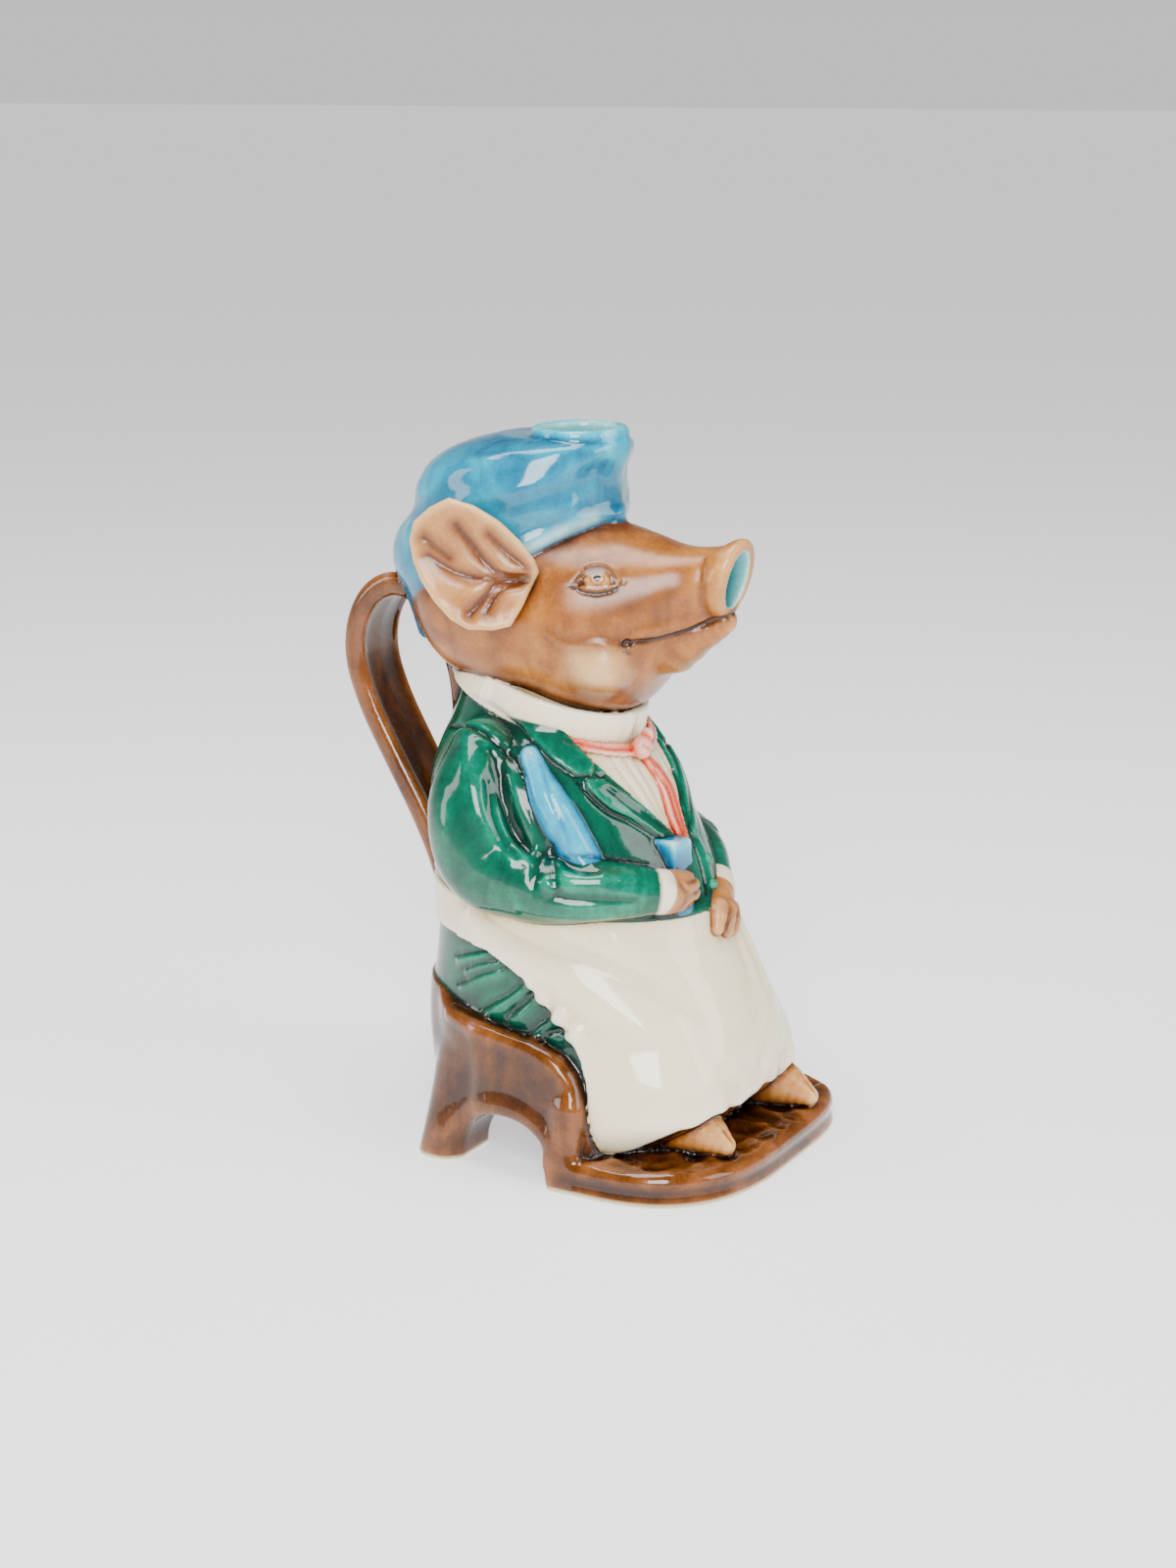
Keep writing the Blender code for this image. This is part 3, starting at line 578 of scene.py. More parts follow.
def makeArms():
    right = [(-31, 13, 141, 13.5), (-40, 13, 124, 16), (-42, 5, 106, 16), (-41.5, -6, 102.5, 13.5)]
    forearm = [(-42, 4, 106, 15.5), (-41, -14, 101, 13), (-35, -35, 101, 10.4), (-29.5, -44.5, 100.6, 8.8),
               (-25.8, -49.2, 100.4, 7.7)]
    left = [(31, 13, 141, 13.5), (40, 13, 124, 16), (42, 6, 107, 16), (40, -16, 101, 13), (29, -37, 97, 10.6),
            (20.5, -46, 92.8, 8.4)]
    add("green", rope(right), 0.8)
    add("green", rope(left), 0.8)
    makeBottle()
    add("green", rope(forearm), 0.8)
    # swellings of the cloth: points, radius, height, blend
    swellings = [
        ([(-43, 15, 148), (-50, 8.4, 138), (-52, 3, 129), (-51, -2, 121), (-51.5, -9, 113)], 5.0, 1.0, 3.5),
        ([(-42, 0, 141), (-43.5, -5, 132), (-45, -10.5, 122), (-45.5, -15, 115)], 3.2, 0.7, 3.0),
        ([(-47, 2, 131), (-48.5, -4, 124), (-49, -9, 117), (-49.5, -14, 111)], 3.0, 0.9, 2.0),
        ([(-51, -20, 106), (-47, -31, 107), (-39, -41, 106)], 3.4, 0.9, 2.4),
        ([(-54, -13, 97), (-49, -27, 95.5), (-40, -40, 95.5)], 3.4, 0.7, 2.4),
    ]
    for points, radius, height, blend in swellings:
        ridge(points, radius, height * sleeve["foldHeight"], blend=blend)
    # creases, also round the armhole and along the body: points, radius, depth, ink (dark painted line and
    # painted shade in the crease), blend
    creases = [
        ([(-40.5, 6, 145), (-43, 0, 137), (-45.5, -3.5, 130), (-47, -7.5, 122), (-47, -12, 115)],
         2.0, 0.7, 0.25, 3.0),
        ([(-46, 6, 136), (-49.5, 1, 128), (-50.5, -4, 120), (-50.5, -10, 113)], 1.8, 0.8, 0.15, 2.2),
        ([(-44.5, -19, 116), (-47.5, -22.5, 109.5), (-49.5, -26, 104)], 1.8, 0.7, 0.3, 2.4),
        ([(-45.5, -17, 114), (-50, -18.5, 109.5), (-53.5, -18.5, 105)], 1.6, 0.6, 0.2, 2.4),
        ([(-44, -24, 113), (-44, -30, 109.5), (-41.5, -36, 107)], 1.5, 0.6, 0.2, 2.2),
        ([(-50, -25, 101.5), (-44, -36.5, 101), (-36, -46.5, 100.5)], 1.6, 0.8, 0.2, 1.8),
        ([(-24, 33, 147), (-35, 22, 152.5), (-39.5, 12, 152.5), (-39.5, 4, 148), (-38, -2, 142.8),
          (-39, -6.5, 138)],
         1.1, 0.8, 0.5, 1.2),
        ([(-42, -26.5, 114.5), (-36.2, -31.5, 112), (-28.3, -39, 109.8), (-19, -46.5, 107.5)], 1.0, 0.7, 0.4,
         0.6),
    ]
    for points, radius, depth, ink, blend in creases:
        groove(points, radius, depth, ink=ink, blend=blend)
    makeHands()


def makeHands():
    add("cream", rope([(-25, -49.9, 100.3, 7.8), (-24, -50.7, 100.1, 7.8)]), 0.4)
    add("tan", rope([(-22.8, -51.2, 99.7, 7.8), (-19, -52.9, 99.3, 7.5), (-14.8, -53.8, 99, 6.6)]), 0.4)
    for z in (95.0, 99.2, 103.2):
        groove([(-20, -58.5, z), (-14.5, -59, z), (-9, -56, z + 0.4)], 0.8, 0.7, ink=0.5, both=False,
               stain=0.4)
    groove([(-24, -57, 104), (-21.5, -58.5, 100), (-23, -57.5, 95)], 0.8, 0.4, ink=0.2, both=False, stain=0.5)
    add("cream", rope([(17.5, -48.8, 91, 8.2), (15.2, -50.6, 90, 8.0)]), 0.4)
    add("tan", rope([(12, -52.6, 89.5, 7.0), (6, -55.6, 87.6, 7.0), (0.5, -57.4, 86, 6.5)]), 0.6)
    fingers = [
        [(0.5, -60.3, 89.3, 3.4), (-3.4, -62, 86.4, 3.1), (-5.2, -62.6, 83.6, 2.5)],
        [(4.5, -61.4, 87.6, 3.4), (1.2, -63.2, 84.6, 3.1), (-0.4, -64, 81.8, 2.5)],
        [(8.5, -60.8, 86.6, 3.3), (6.2, -62.8, 83.4, 3.0), (5, -63.6, 80.8, 2.4)],
    ]
    for finger in fingers:
        add("tan", rope(finger), 0.8)
    seams = [
        [(1.5, -64.3, 88.3), (-1.5, -65.4, 85.2), (-3.2, -65.8, 82.4)],
        [(6, -64.3, 87), (3.6, -66.2, 83.8), (2.2, -66.8, 81)],
    ]
    for seam in seams:
        groove(seam, 0.6, 0.5, ink=0.45, both=False, stain=0.5)


makeArms()

# head: y, z of centre, half width, half height, squareness
headRows = [
    (-66, 204.5, 10.5, 12.5, 2.0), (-63, 204.2, 11.5, 13.3, 2.0), (-58, 202, 11.8, 13.4, 2.1),
    (-50, 197, 14.5, 17, 2.2), (-41, 191.5, 20.5, 22.5, 2.3), (-30, 187.5, 27.5, 29.5, 2.2),
    (-16, 187, 34, 33, 2.1), (2, 189, 37, 34, 2.0), (22, 190, 36.5, 32, 2.0), (40, 192, 31, 27, 2.0),
    (52, 194, 20, 18, 2.0),
]
snoutRimRows = [(-66, 204.5, 11, 12.8, 2), (-64.5, 204.5, 11.8, 13.4, 2), (-62, 204, 11.8, 13.3, 2),
                (-59, 203, 10.8, 12.4, 2)]
head = barrel(headRows)
face = {"pupil": (-24.7, -26.6, 204.7), "pupilRadius": 1.25, "mouthRadius": 1.2}


def makeHead():
    add("flesh", head)
    add("flesh", barrel(snoutRimRows), 1.2)
    lowerLip = rope([(0, -61.3, 189.6, 4.2), (0, -56, 187.6, 6.4), (0, -49, 185.5, 9), (0, -42, 182, 12)])
    add("flesh", lowerLip, 4.0)
    add("flesh", twin(ball((-22.5, -27, 175), (7.6, 9, 9))), 5)
    groove([(-11, -57.5, 214.5), (-12.6, -58.5, 205), (-10.5, -58.8, 196), (-5.5, -59.5, 192)], 1.6, 0.5,
           ink=0.12, blend=1.4)


def makeEyes():
    # a round eyeball between lids, with a fold over it
    px, py, pz = face["pupil"]
    drawLine([(px - 1.2, py + 1.9, pz - 0.2, 2.8), (px, py, pz, 3.1), (px + 0.9, py - 1.8, pz - 0.1, 2.8)],
             radius=None, rise=0.25, zone="eye", blend=0.5, cut=False)
    lower = [(-28.7, -19.6, 202.9), (-27.6, -23.4, 201.7), (-26.1, -27.4, 201.3), (-24, -31.2, 202.3),
             (-22.6, -33.4, 203.2)]
    upper = [(-28.5, -20.0, 203.2), (-26.4, -22.6, 206.3), (-23.9, -25.9, 207.8), (-22.9, -29.7, 206.5),
             (-22.8, -33, 203.6)]
    fold = [(-28.9, -18.4, 204.2), (-26.5, -20.6, 208.2), (-22.8, -25, 210.4), (-21.3, -30.3, 208.6),
            (-22, -34, 204)]
    ridge(upper, 1.15, 1.0, blend=0.6)
    ridge(lower, 1.0, 0.7, blend=0.6)
    groove([(x + 0.1, y, z - 1.0) for x, y, z in upper], 0.5, 0.5, ink=0.85, blend=0.3, stain=0.2)
    groove([(x - 0.1, y, z + 1.25) for x, y, z in upper], 0.6, 0.5, ink=0.55, blend=0.4, stain=0.25)
    ridge(fold, 0.9, 0.45, blend=0.7)
    groove([(x, y, z - 1.3) for x, y, z in lower], 0.75, 0.6, ink=1.0, blend=0.4, stain=0.3)
    groove([(-29.2, -18.2, 202.6), (-28.3, -20.8, 202.9), (-27.6, -23, 203.2)], 0.9, 0.8, ink=0.9, blend=0.5)
    groove([(-22.4, -33.8, 203.5), (-21.8, -35.4, 204.2)], 0.6, 0.5, ink=0.5, blend=0.5)


def makeMouth():
    # the line between the lips, with a pit at its corner
    mouth = [(-23.2, -36.6, 183.9), (-20.2, -40.3, 184.3), (-14.5, -46.6, 185.6), (-10, -52, 187.4),
             (-7, -57, 189.3), (-3.6, -62.4, 192), (0, -64.2, 192.8)]
    groove(mouth, face["mouthRadius"], 1.2, ink=0.95, blend=0.6, stain=0.4)
    groove([(-24.3, -35.6, 183.6), (-23.2, -36.8, 183.6), (-21.8, -38.2, 183.6)], 1.7, 1.5, ink=1.0,
           blend=0.7, stain=0.4)
    # painted shadow under the mouth's corner
    groove([(-24.2, -36.4, 181), (-22.4, -38.6, 180.4)], 1.2, 0.6, ink=0.35, blend=1.0, stain=0.3)
    ridge([(-20, -38.8, 187.2), (-14.5, -45.2, 188.6), (-10, -50.8, 190.4), (-7, -56, 192.2)], 2.6, 0.6,
          blend=2.0)
    # the glaze ran down and stopped above the cheek
    run = [(-35, -13, 186.6), (-33.6, -17.2, 183.3), (-31.3, -22.7, 182.6), (-28.2, -28.4, 184),
           (-25.3, -33.4, 182.6), (-24, -35.6, 184.5)]
    ridge(run, 1.1, 0.3, blend=0.9, stain=0.35)


veinPaths = []
ear = {"root": (-36, -8, 206), "tip": (-52, 31, 212), "thickness": 1.6, "cup": 3.4, "rim": 1.25,
       "farShift": (4.5, 2.5)}


def makeEars():
    root, tip = np.array(ear["root"], float), np.array(ear["tip"], float)
    along = (tip - root) / np.linalg.norm(tip - root)
    outward = np.array([-1, -0.35, 0.1])
    outward = outward - along * (outward @ along)
    outward /= np.linalg.norm(outward)
    across = np.cross(outward, along)
    # the ear's outline and veins, along it and across it from its root
    outline = [(-1.8, -1.7), (0, -5.1), (5.8, -10.7), (13.2, -16), (22, -19.8), (30.5, -21), (36.5, -16.8),
               (41.1, -11.4), (41.9, -5.4), (39.6, 1.5), (35.7, 7.4), (30.6, 13.2), (24.2, 18.1),
               (17.9, 20.4), (9.7, 19.3), (4.4, 17.1), (1.7, 10.4), (0, 4.1)]
    outline = np.array(outline)

    veins = [
        ([(1, 0.3), (9.1, 1), (15, -1.3), (20.4, -6.3), (27, -12.5)], 0.9),
        ([(37.1, -6.8), (33.1, -4.2), (28, -1.5)], 0.5),
        ([(0.7, 1.6), (10.5, 2.6), (20.3, 3.6), (28.9, 1.7), (35, -1.2)], 0.8),
        ([(1.3, 2.1), (10.9, 4.3), (14.7, 9.9), (18, 15.5)], 1.3),
        ([(4, 3.2), (7.5, 4.6), (10.4, 8.2), (12.9, 14)], 1.1),
        ([(1.9, -2.1), (8.4, -6), (16, -11.5)], 0.7),
    ]
    for line, depth in veins:
        lifts = [ear["cup"] * (abs(v) / 20) ** 2 + 1.5 for u, v in line]
        path = [root + along * u + across * v + outward * lift for (u, v), lift in zip(line, lifts)]
        veinPaths.append(([tuple(p) for p in path], depth))

    def leaf(x, y, z):
        px, py, pz = x - root[0], y - root[1], z - root[2]
        u, v, w = (px * a[0] + py * a[1] + pz * a[2] for a in (along, across, outward))
        rim = loopDistance(u, v, outline)
        swell = 1.2 * np.exp(-(((v - 8) / 4.5) ** 2))
        bowl = ear["cup"] * (np.abs(v) / 20) ** 2 + swell * np.clip(u / 14, 0, 1)
        trough = 0.0
        for line, depth in veins:
            gap = rope([(a, b, 0, 0) for a, b in line], 3, far=9.0)["at"](u, v, 0)
            trough = trough + 0.5 * depth * np.exp(-((gap / 2.4) ** 2))
            trough = trough - 0.35 * depth * np.exp(-(((gap - 4.0) / 2.0) ** 2))
        above = w - bowl
        thick = ear["thickness"]
        body = roundedBoth(rim, np.maximum(above + trough - thick, -above - thick - 0.8), 1.0)
        roll = np.hypot(rim + 1.0, w - bowl - 0.5) - ear["rim"]
        return softMin(body, roll, 1.2)

    leafForm = form(leaf, (-60, -13, 182), (-28, 36, 232))
    back, inward = ear["farShift"]
    add("tan", leafForm, 0.5)
    add("tan", form(lambda x, y, z: leaf(-x - inward, y - back, z), (26, -10, 182), (60, 41, 232)), 0.5)
    add("tan", twin(rope([(-27, -3.5, 203, 4.0), (-35.5, -3, 205.5, 2.4)])), 1.5)
    # dark veins, with a brown tint and painted shade around them
    for path, depth in veinPaths:
        groove(path, 0.6 + 0.3 * depth, 0.6 * depth, ink=0.3 + 0.2 * depth, stain=0.7, blend=0.9)


# cap: height, y of centre, half width, half depth, squareness
capRows = [
    (170, 26, 26, 30, 2.0), (186, 26, 31, 34, 2.0), (196, 25, 34.5, 38.5, 2.0), (208, 24, 37.5, 41.5, 2.0),
           (214, 22, 38, 41, 2.0), (222, 18.5, 36, 38, 2.0), (232, 17, 35.5, 37, 2.0),
           (239, 14.5, 33.5, 34.5, 2.0), (243.5, 10, 30.3, 31.8, 2.0), (247, 5, 25.3, 27.3, 2.0),
           (249.3, 1, 17.8, 22, 2.0), ]
cap = {"mouthHalfWidth": 13.5, "mouthHalfLength": 12.5, "mouthCentre": -5.5, "lip": 2.1, "foldHeight": 1.5}


def makeCap():
    crown = tower(capRows)
    folds = [
        [(-10, -21, 244), (-24, -12, 238), (-34, 6, 232), (-37, 24, 226), (-30, 44, 216)],
        [(-20, -14, 226), (-31, -3, 225), (-37, 8, 220), (-39, 20, 214)],
        [(-30, 14, 241), (-30, 28, 237), (-24, 42, 230), (-12, 50, 224)],
        [(-38, 24, 206), (-36, 38, 202), (-26, 52, 200), (-12, 60, 202)],
    ]
    lines = [rope([(*p, 0.0) for p in line], 6, far=14.0) for line in folds]

    def distance(x, y, z):
        body = crown["at"](x, y, z)
        ax = -np.abs(x)
        for k, line in enumerate(lines):
            gap = line["at"](ax, y, z)
            body = body - cap["foldHeight"] * (1 - 0.15 * k) * np.exp(-((gap / 4.5) ** 2)) + 0.4
        low = np.interp(y, [-28, -21, -17, -8, -3, 6, 20, 46], [220, 219.5, 219, 214.5, 210.5, 198, 185, 176])
        return roundedBoth(body - 0.6, (low - z) * 0.8, 1.2)

    add("cap", form(distance, (-42, -30, 174), (42, 68, 253)), 0.4)
    peak = rope([(0, -15, 221, 6.5), (0, -11.5, 233, 7), (0, -16.3, 244, 7.2)])
    add("cap", peak, 5)
    brim = [(-34, 1, 211.5), (-29.5, -5, 216), (-24, -11.5, 219.5), (-15, -17.5, 222.2), (-6, -20.8, 223),
            (0, -21.3, 223.2)]
    ridge(brim, 3.0, 0.9, blend=2.2)
    wide, deep = cap["mouthHalfWidth"] + 1.9, cap["mouthHalfLength"] + 1.9
    lip = [(wide * math.cos(a), cap["mouthCentre"] + deep * math.sin(a), 249.5, cap["lip"])
           for a in np.linspace(0, 2 * math.pi, 25)]
    add("cap", rope(lip), 1.6)


makeHead()
makeEyes()
makeMouth()
makeCap()
makeEars()

# trotters: points and radii of each, and where each is cleft
trotters = [
    [(-25, -50, 19, 12), (-26, -66, 19, 9), (-27, -78, 15, 3.6)],
    [(26, -54, 19, 12), (27, -70, 19, 9), (28, -83, 15, 3.6)],
]
for line in trotters:
    add("tan", rope(line), 0.4)
for x, y, *rest in (line[-1] for line in trotters):
    cut(rope([(x, y - 6, 14, 0.7), (x, y + 1, 20, 0.5), (x + 0.3, y + 10, 27, 0.3)]), 0.8)

add("brown", makeStrap(), 2.0)
add("brown", rope([(0, 34, 148, 7), (0, 37, 160, 6), (0, 40, 172, 5)]), 3.0)


def makeHollow():
    # inside lap, trunk, head and cap, and open at the cap's mouth and through the snout
    wall = clay["wall"]
    floorZ, backLimit = 28.0, 36.0
    rows = []
    for z, y, w, d, n in list(fairTable(lapRows, 12)) + [np.array(r, float) for r in trunkRows[2:8]]:
        if z > floorZ + 2:
            back = min(y + d, backLimit + (z - floorZ) * 0.25)
            rows.append((z, (y - d + back) / 2, w - 1, (back - y + d) / 2, n))
    first = rows[0]
    floor = (floorZ, first[1], first[2] - 5, first[3] - 5, 2.2)
    rows = [floor] + [r for r in rows if r[0] < 88 or r[0] > 100]
    trunkHollow = tower(rows + [(176, 6, 26, 27, 2)], inset=wall, edge=3)
    headHollow = barrel([r for r in headRows if -45 < r[0] < 45], inset=wall)
    capHollow = tower([r for r in capRows if 205 < r[0] < 241], inset=wall)

    def throat(x, y, z):
        oval = ovalDistance(x, y - cap["mouthCentre"], cap["mouthHalfWidth"], cap["mouthHalfLength"], 2.0)
        return roundedBoth(oval, 238 - z, 2.0)

    mouth = form(throat, (-15, -20, 236), (15, 9, 256))
    bore = [(-76, 205.5, 7, 9), (-62, 203.5, 7, 9), (-48, 198, 8.4, 10.8), (-32, 192, 13, 17)]
    spout = barrel([(y, z, w, h, 2.0) for y, z, w, h in bore], lean=0.0)
    shapes = [trunkHollow, headHollow, capHollow, mouth, spout]

    def distance(x, y, z):
        best = shapes[0]["at"](x, y, z)
        for shape in shapes[1:]:
            best = softMin(best, shape["at"](x, y, z), 2.5)
        return best

    low = np.min([s["low"] for s in shapes], axis=0)
    high = np.max([s["high"] for s in shapes], axis=0)
    return form(distance, low, high)


hollow = makeHollow()
cut(hollow, 1.6)
cutBelow()
print("shapes of clay:", len(work))


corners = [(i, j, k) for i in (0, 1) for j in (0, 1) for k in (0, 1)]


def sampleAt(grid, low, h, points):
    q = (points - low) / h
    i = np.clip(np.floor(q).astype(int), 0, np.array(grid.shape) - 2)
    t = q - i
    total = 0.0
    for corner in corners:
        along = [t[:, k] if corner[k] else 1 - t[:, k] for k in range(3)]
        total = total + along[0] * along[1] * along[2] * grid[tuple((i + np.array(corner)).T)]
    return total


def slopeAt(grid, low, h, points):
    return np.stack([sampleAt(grid, low, h, points + step) - sampleAt(grid, low, h, points - step)
                     for step in h * np.eye(3)], 1)


def settledLine(field, low, h, item):
    # moves a drawn line's points onto the surface and gives it its body
    rows = evenly(item["path"], clay["lineStep"])
    points = rows[:, :3].copy()
    for _ in range(5):
        slope = slopeAt(field, low, h, points)
        slope /= np.maximum(np.linalg.norm(slope, axis=1, keepdims=True), 1e-6)
        points -= np.clip(sampleAt(field, low, h, points), -2, 2)[:, None] * slope
    t = np.linspace(0, 1, len(points))
    if item["radius"] is None:
        radius = rows[:, 3]
        lift = radius * (item["rise"] * 2 - 1)
    else:
        taper = 0.3 + 0.7 * np.minimum(1, 5 * np.minimum(t, 1 - t))
        radius = item["radius"] * taper
        lift = item["rise"] * taper + (radius if item["cut"] else -radius)
    item["centre"] = chain(np.hstack([points, 0 * radius[:, None]]), far=12.0)
    item["crest"] = points + slope * (lift + radius)[:, None]
    return chain(np.hstack([points + slope * lift[:, None], radius[:, None]]))


def fireClay():
    # works every piece of clay into one grid of distances
    h = clay["spacing"]
    low = np.array(clay["corner"])
    count = [int(round(n / h)) for n in clay["extent"]]
    axes = [low[k] + h * np.arange(count[k]) for k in range(3)]
    field = np.full(count, 9.0, np.float32)
    for item in work:
        if "path" in item:
            item["shape"] = settledLine(field, low, h, item)
        shape, pad = item["shape"], item["blend"] + 2.5
        first = [max(0, int((shape["low"][k] - pad - low[k]) / h)) for k in range(3)]
        last = [min(count[k], int((shape["high"][k] + pad - low[k]) / h) + 2) for k in range(3)]
        block = tuple(slice(a, b) for a, b in zip(first, last))
        gap = shape["at"](*np.ix_(*[axes[k][block[k]] for k in range(3)]))
        if item["cut"]:
            field[block] = softMax(field[block], -gap, item["blend"])
        else:
            field[block] = softMin(field[block], gap, item["blend"])
    field = np.maximum(field, -axes[2][None, None, :].astype(np.float32))  # the flat underside
    return field, low, h


def netSurface(field, low, h):
    # a net of four-sided faces, with one point in each cell that the surface crosses
    inside = field < 0
    total = np.zeros([n - 1 for n in field.shape], np.int8)
    for i, j, k in corners:
        total += inside[i : inside.shape[0] - 1 + i, j : inside.shape[1] - 1 + j, k : inside.shape[2] - 1 + k]
    active = (total > 0) & (total < 8)
    cells = np.argwhere(active)
    number = np.full(active.shape, -1, np.int32)
    number[active] = np.arange(len(cells))
    places, hits = np.zeros((len(cells), 3)), np.zeros(len(cells))
    for axis in range(3):
        step = np.eye(3, dtype=int)[axis]
        for start in corners:
            if start[axis]:
                continue
            a = cells + np.array(start)
            b = a + step
            fa, fb = field[tuple(a.T)], field[tuple(b.T)]
            crossing = (fa < 0) != (fb < 0)
            t = fa[crossing] / (fa[crossing] - fb[crossing])
            places[crossing] += np.array(start) + t[:, None] * step
            hits += crossing
    verts = low + (cells + places / hits[:, None]) * h
    faces = []
    for axis in range(3):
        u, v = np.eye(3, dtype=int)[(axis + 1) % 3], np.eye(3, dtype=int)[(axis + 2) % 3]
        lower = [slice(1, -1)] * 3
        upper = [slice(1, -1)] * 3
        lower[axis], upper[axis] = slice(0, -1), slice(1, None)
        change = inside[tuple(lower)] != inside[tuple(upper)]
        p = np.argwhere(change) + np.array([0 if k == axis else 1 for k in range(3)])
        quad = np.stack([number[tuple(q.T)] for q in (p, p - u, p - u - v, p - v)], axis=1)
        outwards = inside[tuple(p.T)]
        quad[~outwards] = quad[~outwards][:, ::-1]
        faces.append(quad)
    return verts, np.vstack(faces)


def relaxed(verts, faces):
    # evens out the net's steps without shrinking the pot
    a = np.concatenate([faces[:, k] for k in range(4)])
    b = np.concatenate([faces[:, (k + 1) % 4] for k in range(4)])
    count = np.bincount(a, minlength=len(verts)) + np.bincount(b, minlength=len(verts))
    size = len(verts)
    for share in clay["evening"]:
        sums = [np.bincount(a, verts[b, k], size) + np.bincount(b, verts[a, k], size) for k in range(3)]
        verts = verts + share * (np.stack(sums, 1) / count[:, None] - verts)
    return verts


def blur(grid, reach):
    # average over a box, done twice along each axis
    result = grid
    for _ in range(2):
        for axis in range(3):
            before = np.repeat(result.take([0], axis), reach + 1, axis)
            after = np.repeat(result.take([-1], axis), reach, axis)
            run = np.cumsum(np.concatenate([before, result, after], axis), axis, dtype=np.float64)
            n, width = result.shape[axis], 2 * reach + 1
            total = run.take(range(width, width + n), axis) - run.take(range(0, n), axis)
            result = (total / width).astype(np.float32)
    return result


field, low, h = fireClay()
verts, faces = netSurface(field, low, h)
verts = relaxed(verts, faces)
print("clay surface:", len(verts), "points")


def dropCrumbs(mesh):
    # specks of glaze that hang on nothing are wiped off
    bm = bmesh.new()
    bm.from_mesh(mesh)
    seen, crumbs = set(), []
    for first in bm.faces:
        if first in seen:
            continue
        island, queue = [], [first]
        seen.add(first)
        while queue:
            part = queue.pop()
            island.append(part)
            for edge in part.edges:
                for other in edge.link_faces:
                    if other not in seen:
                        seen.add(other)
                        queue.append(other)
        if len(island) < clay["crumb"]:
            crumbs += island
    bmesh.ops.delete(bm, geom=crumbs, context="FACES")
    bm.to_mesh(mesh)
    bm.free()


def thinned(verts, faces):
    # fewer triangles on the smooth clay, and the net kept fine along drawn lines
    mesh = bpy.data.meshes.new("pigPitcher")
    mesh.from_pydata((verts * 0.001).tolist(), [], faces.tolist())
    raw = bpy.data.objects.new("rawPitcher", mesh)
    bpy.context.scene.collection.objects.link(raw)
    near = np.zeros(len(verts), bool)
    for item in work:
        if item.get("ink", 0) > 0.2:
            line = item["centre"]
            picked = np.flatnonzero(np.all((verts > line["low"] - 2) & (verts < line["high"] + 2), axis=1))
            near[picked] |= line["at"](*verts[picked].T) < item["radius"] + 0.9
    loose = raw.vertex_groups.new(name="loose")
    loose.add(np.flatnonzero(~near).tolist(), 1.0, "REPLACE")
    thin = raw.modifiers.new("thin", "DECIMATE")
    thin.ratio = clay["triangles"] / (2 * len(faces))
    thin.vertex_group = "loose"
    thin.vertex_group_factor = clay["lineCare"]
    thin.use_collapse_triangulate = True
    bpy.context.view_layer.update()
    result = bpy.data.meshes.new_from_object(raw.evaluated_get(bpy.context.evaluated_depsgraph_get()))
    bpy.data.objects.remove(raw)
    dropCrumbs(result)
    result.name = "pigPitcher"
    return result


potMesh = thinned(verts, faces)
print("thinned to", len(potMesh.polygons), "triangles")


# which glaze lies where, where it pools or thins, and where shade and highlight are painted
glazes = ["brown", "green", "cream", "coral", "blue", "flesh", "tan", "eye", "cap"]


def pointsOf(mesh):
    points = np.zeros(len(mesh.vertices) * 3)
    mesh.vertices.foreach_get("co", points)
    return points.reshape(-1, 3)


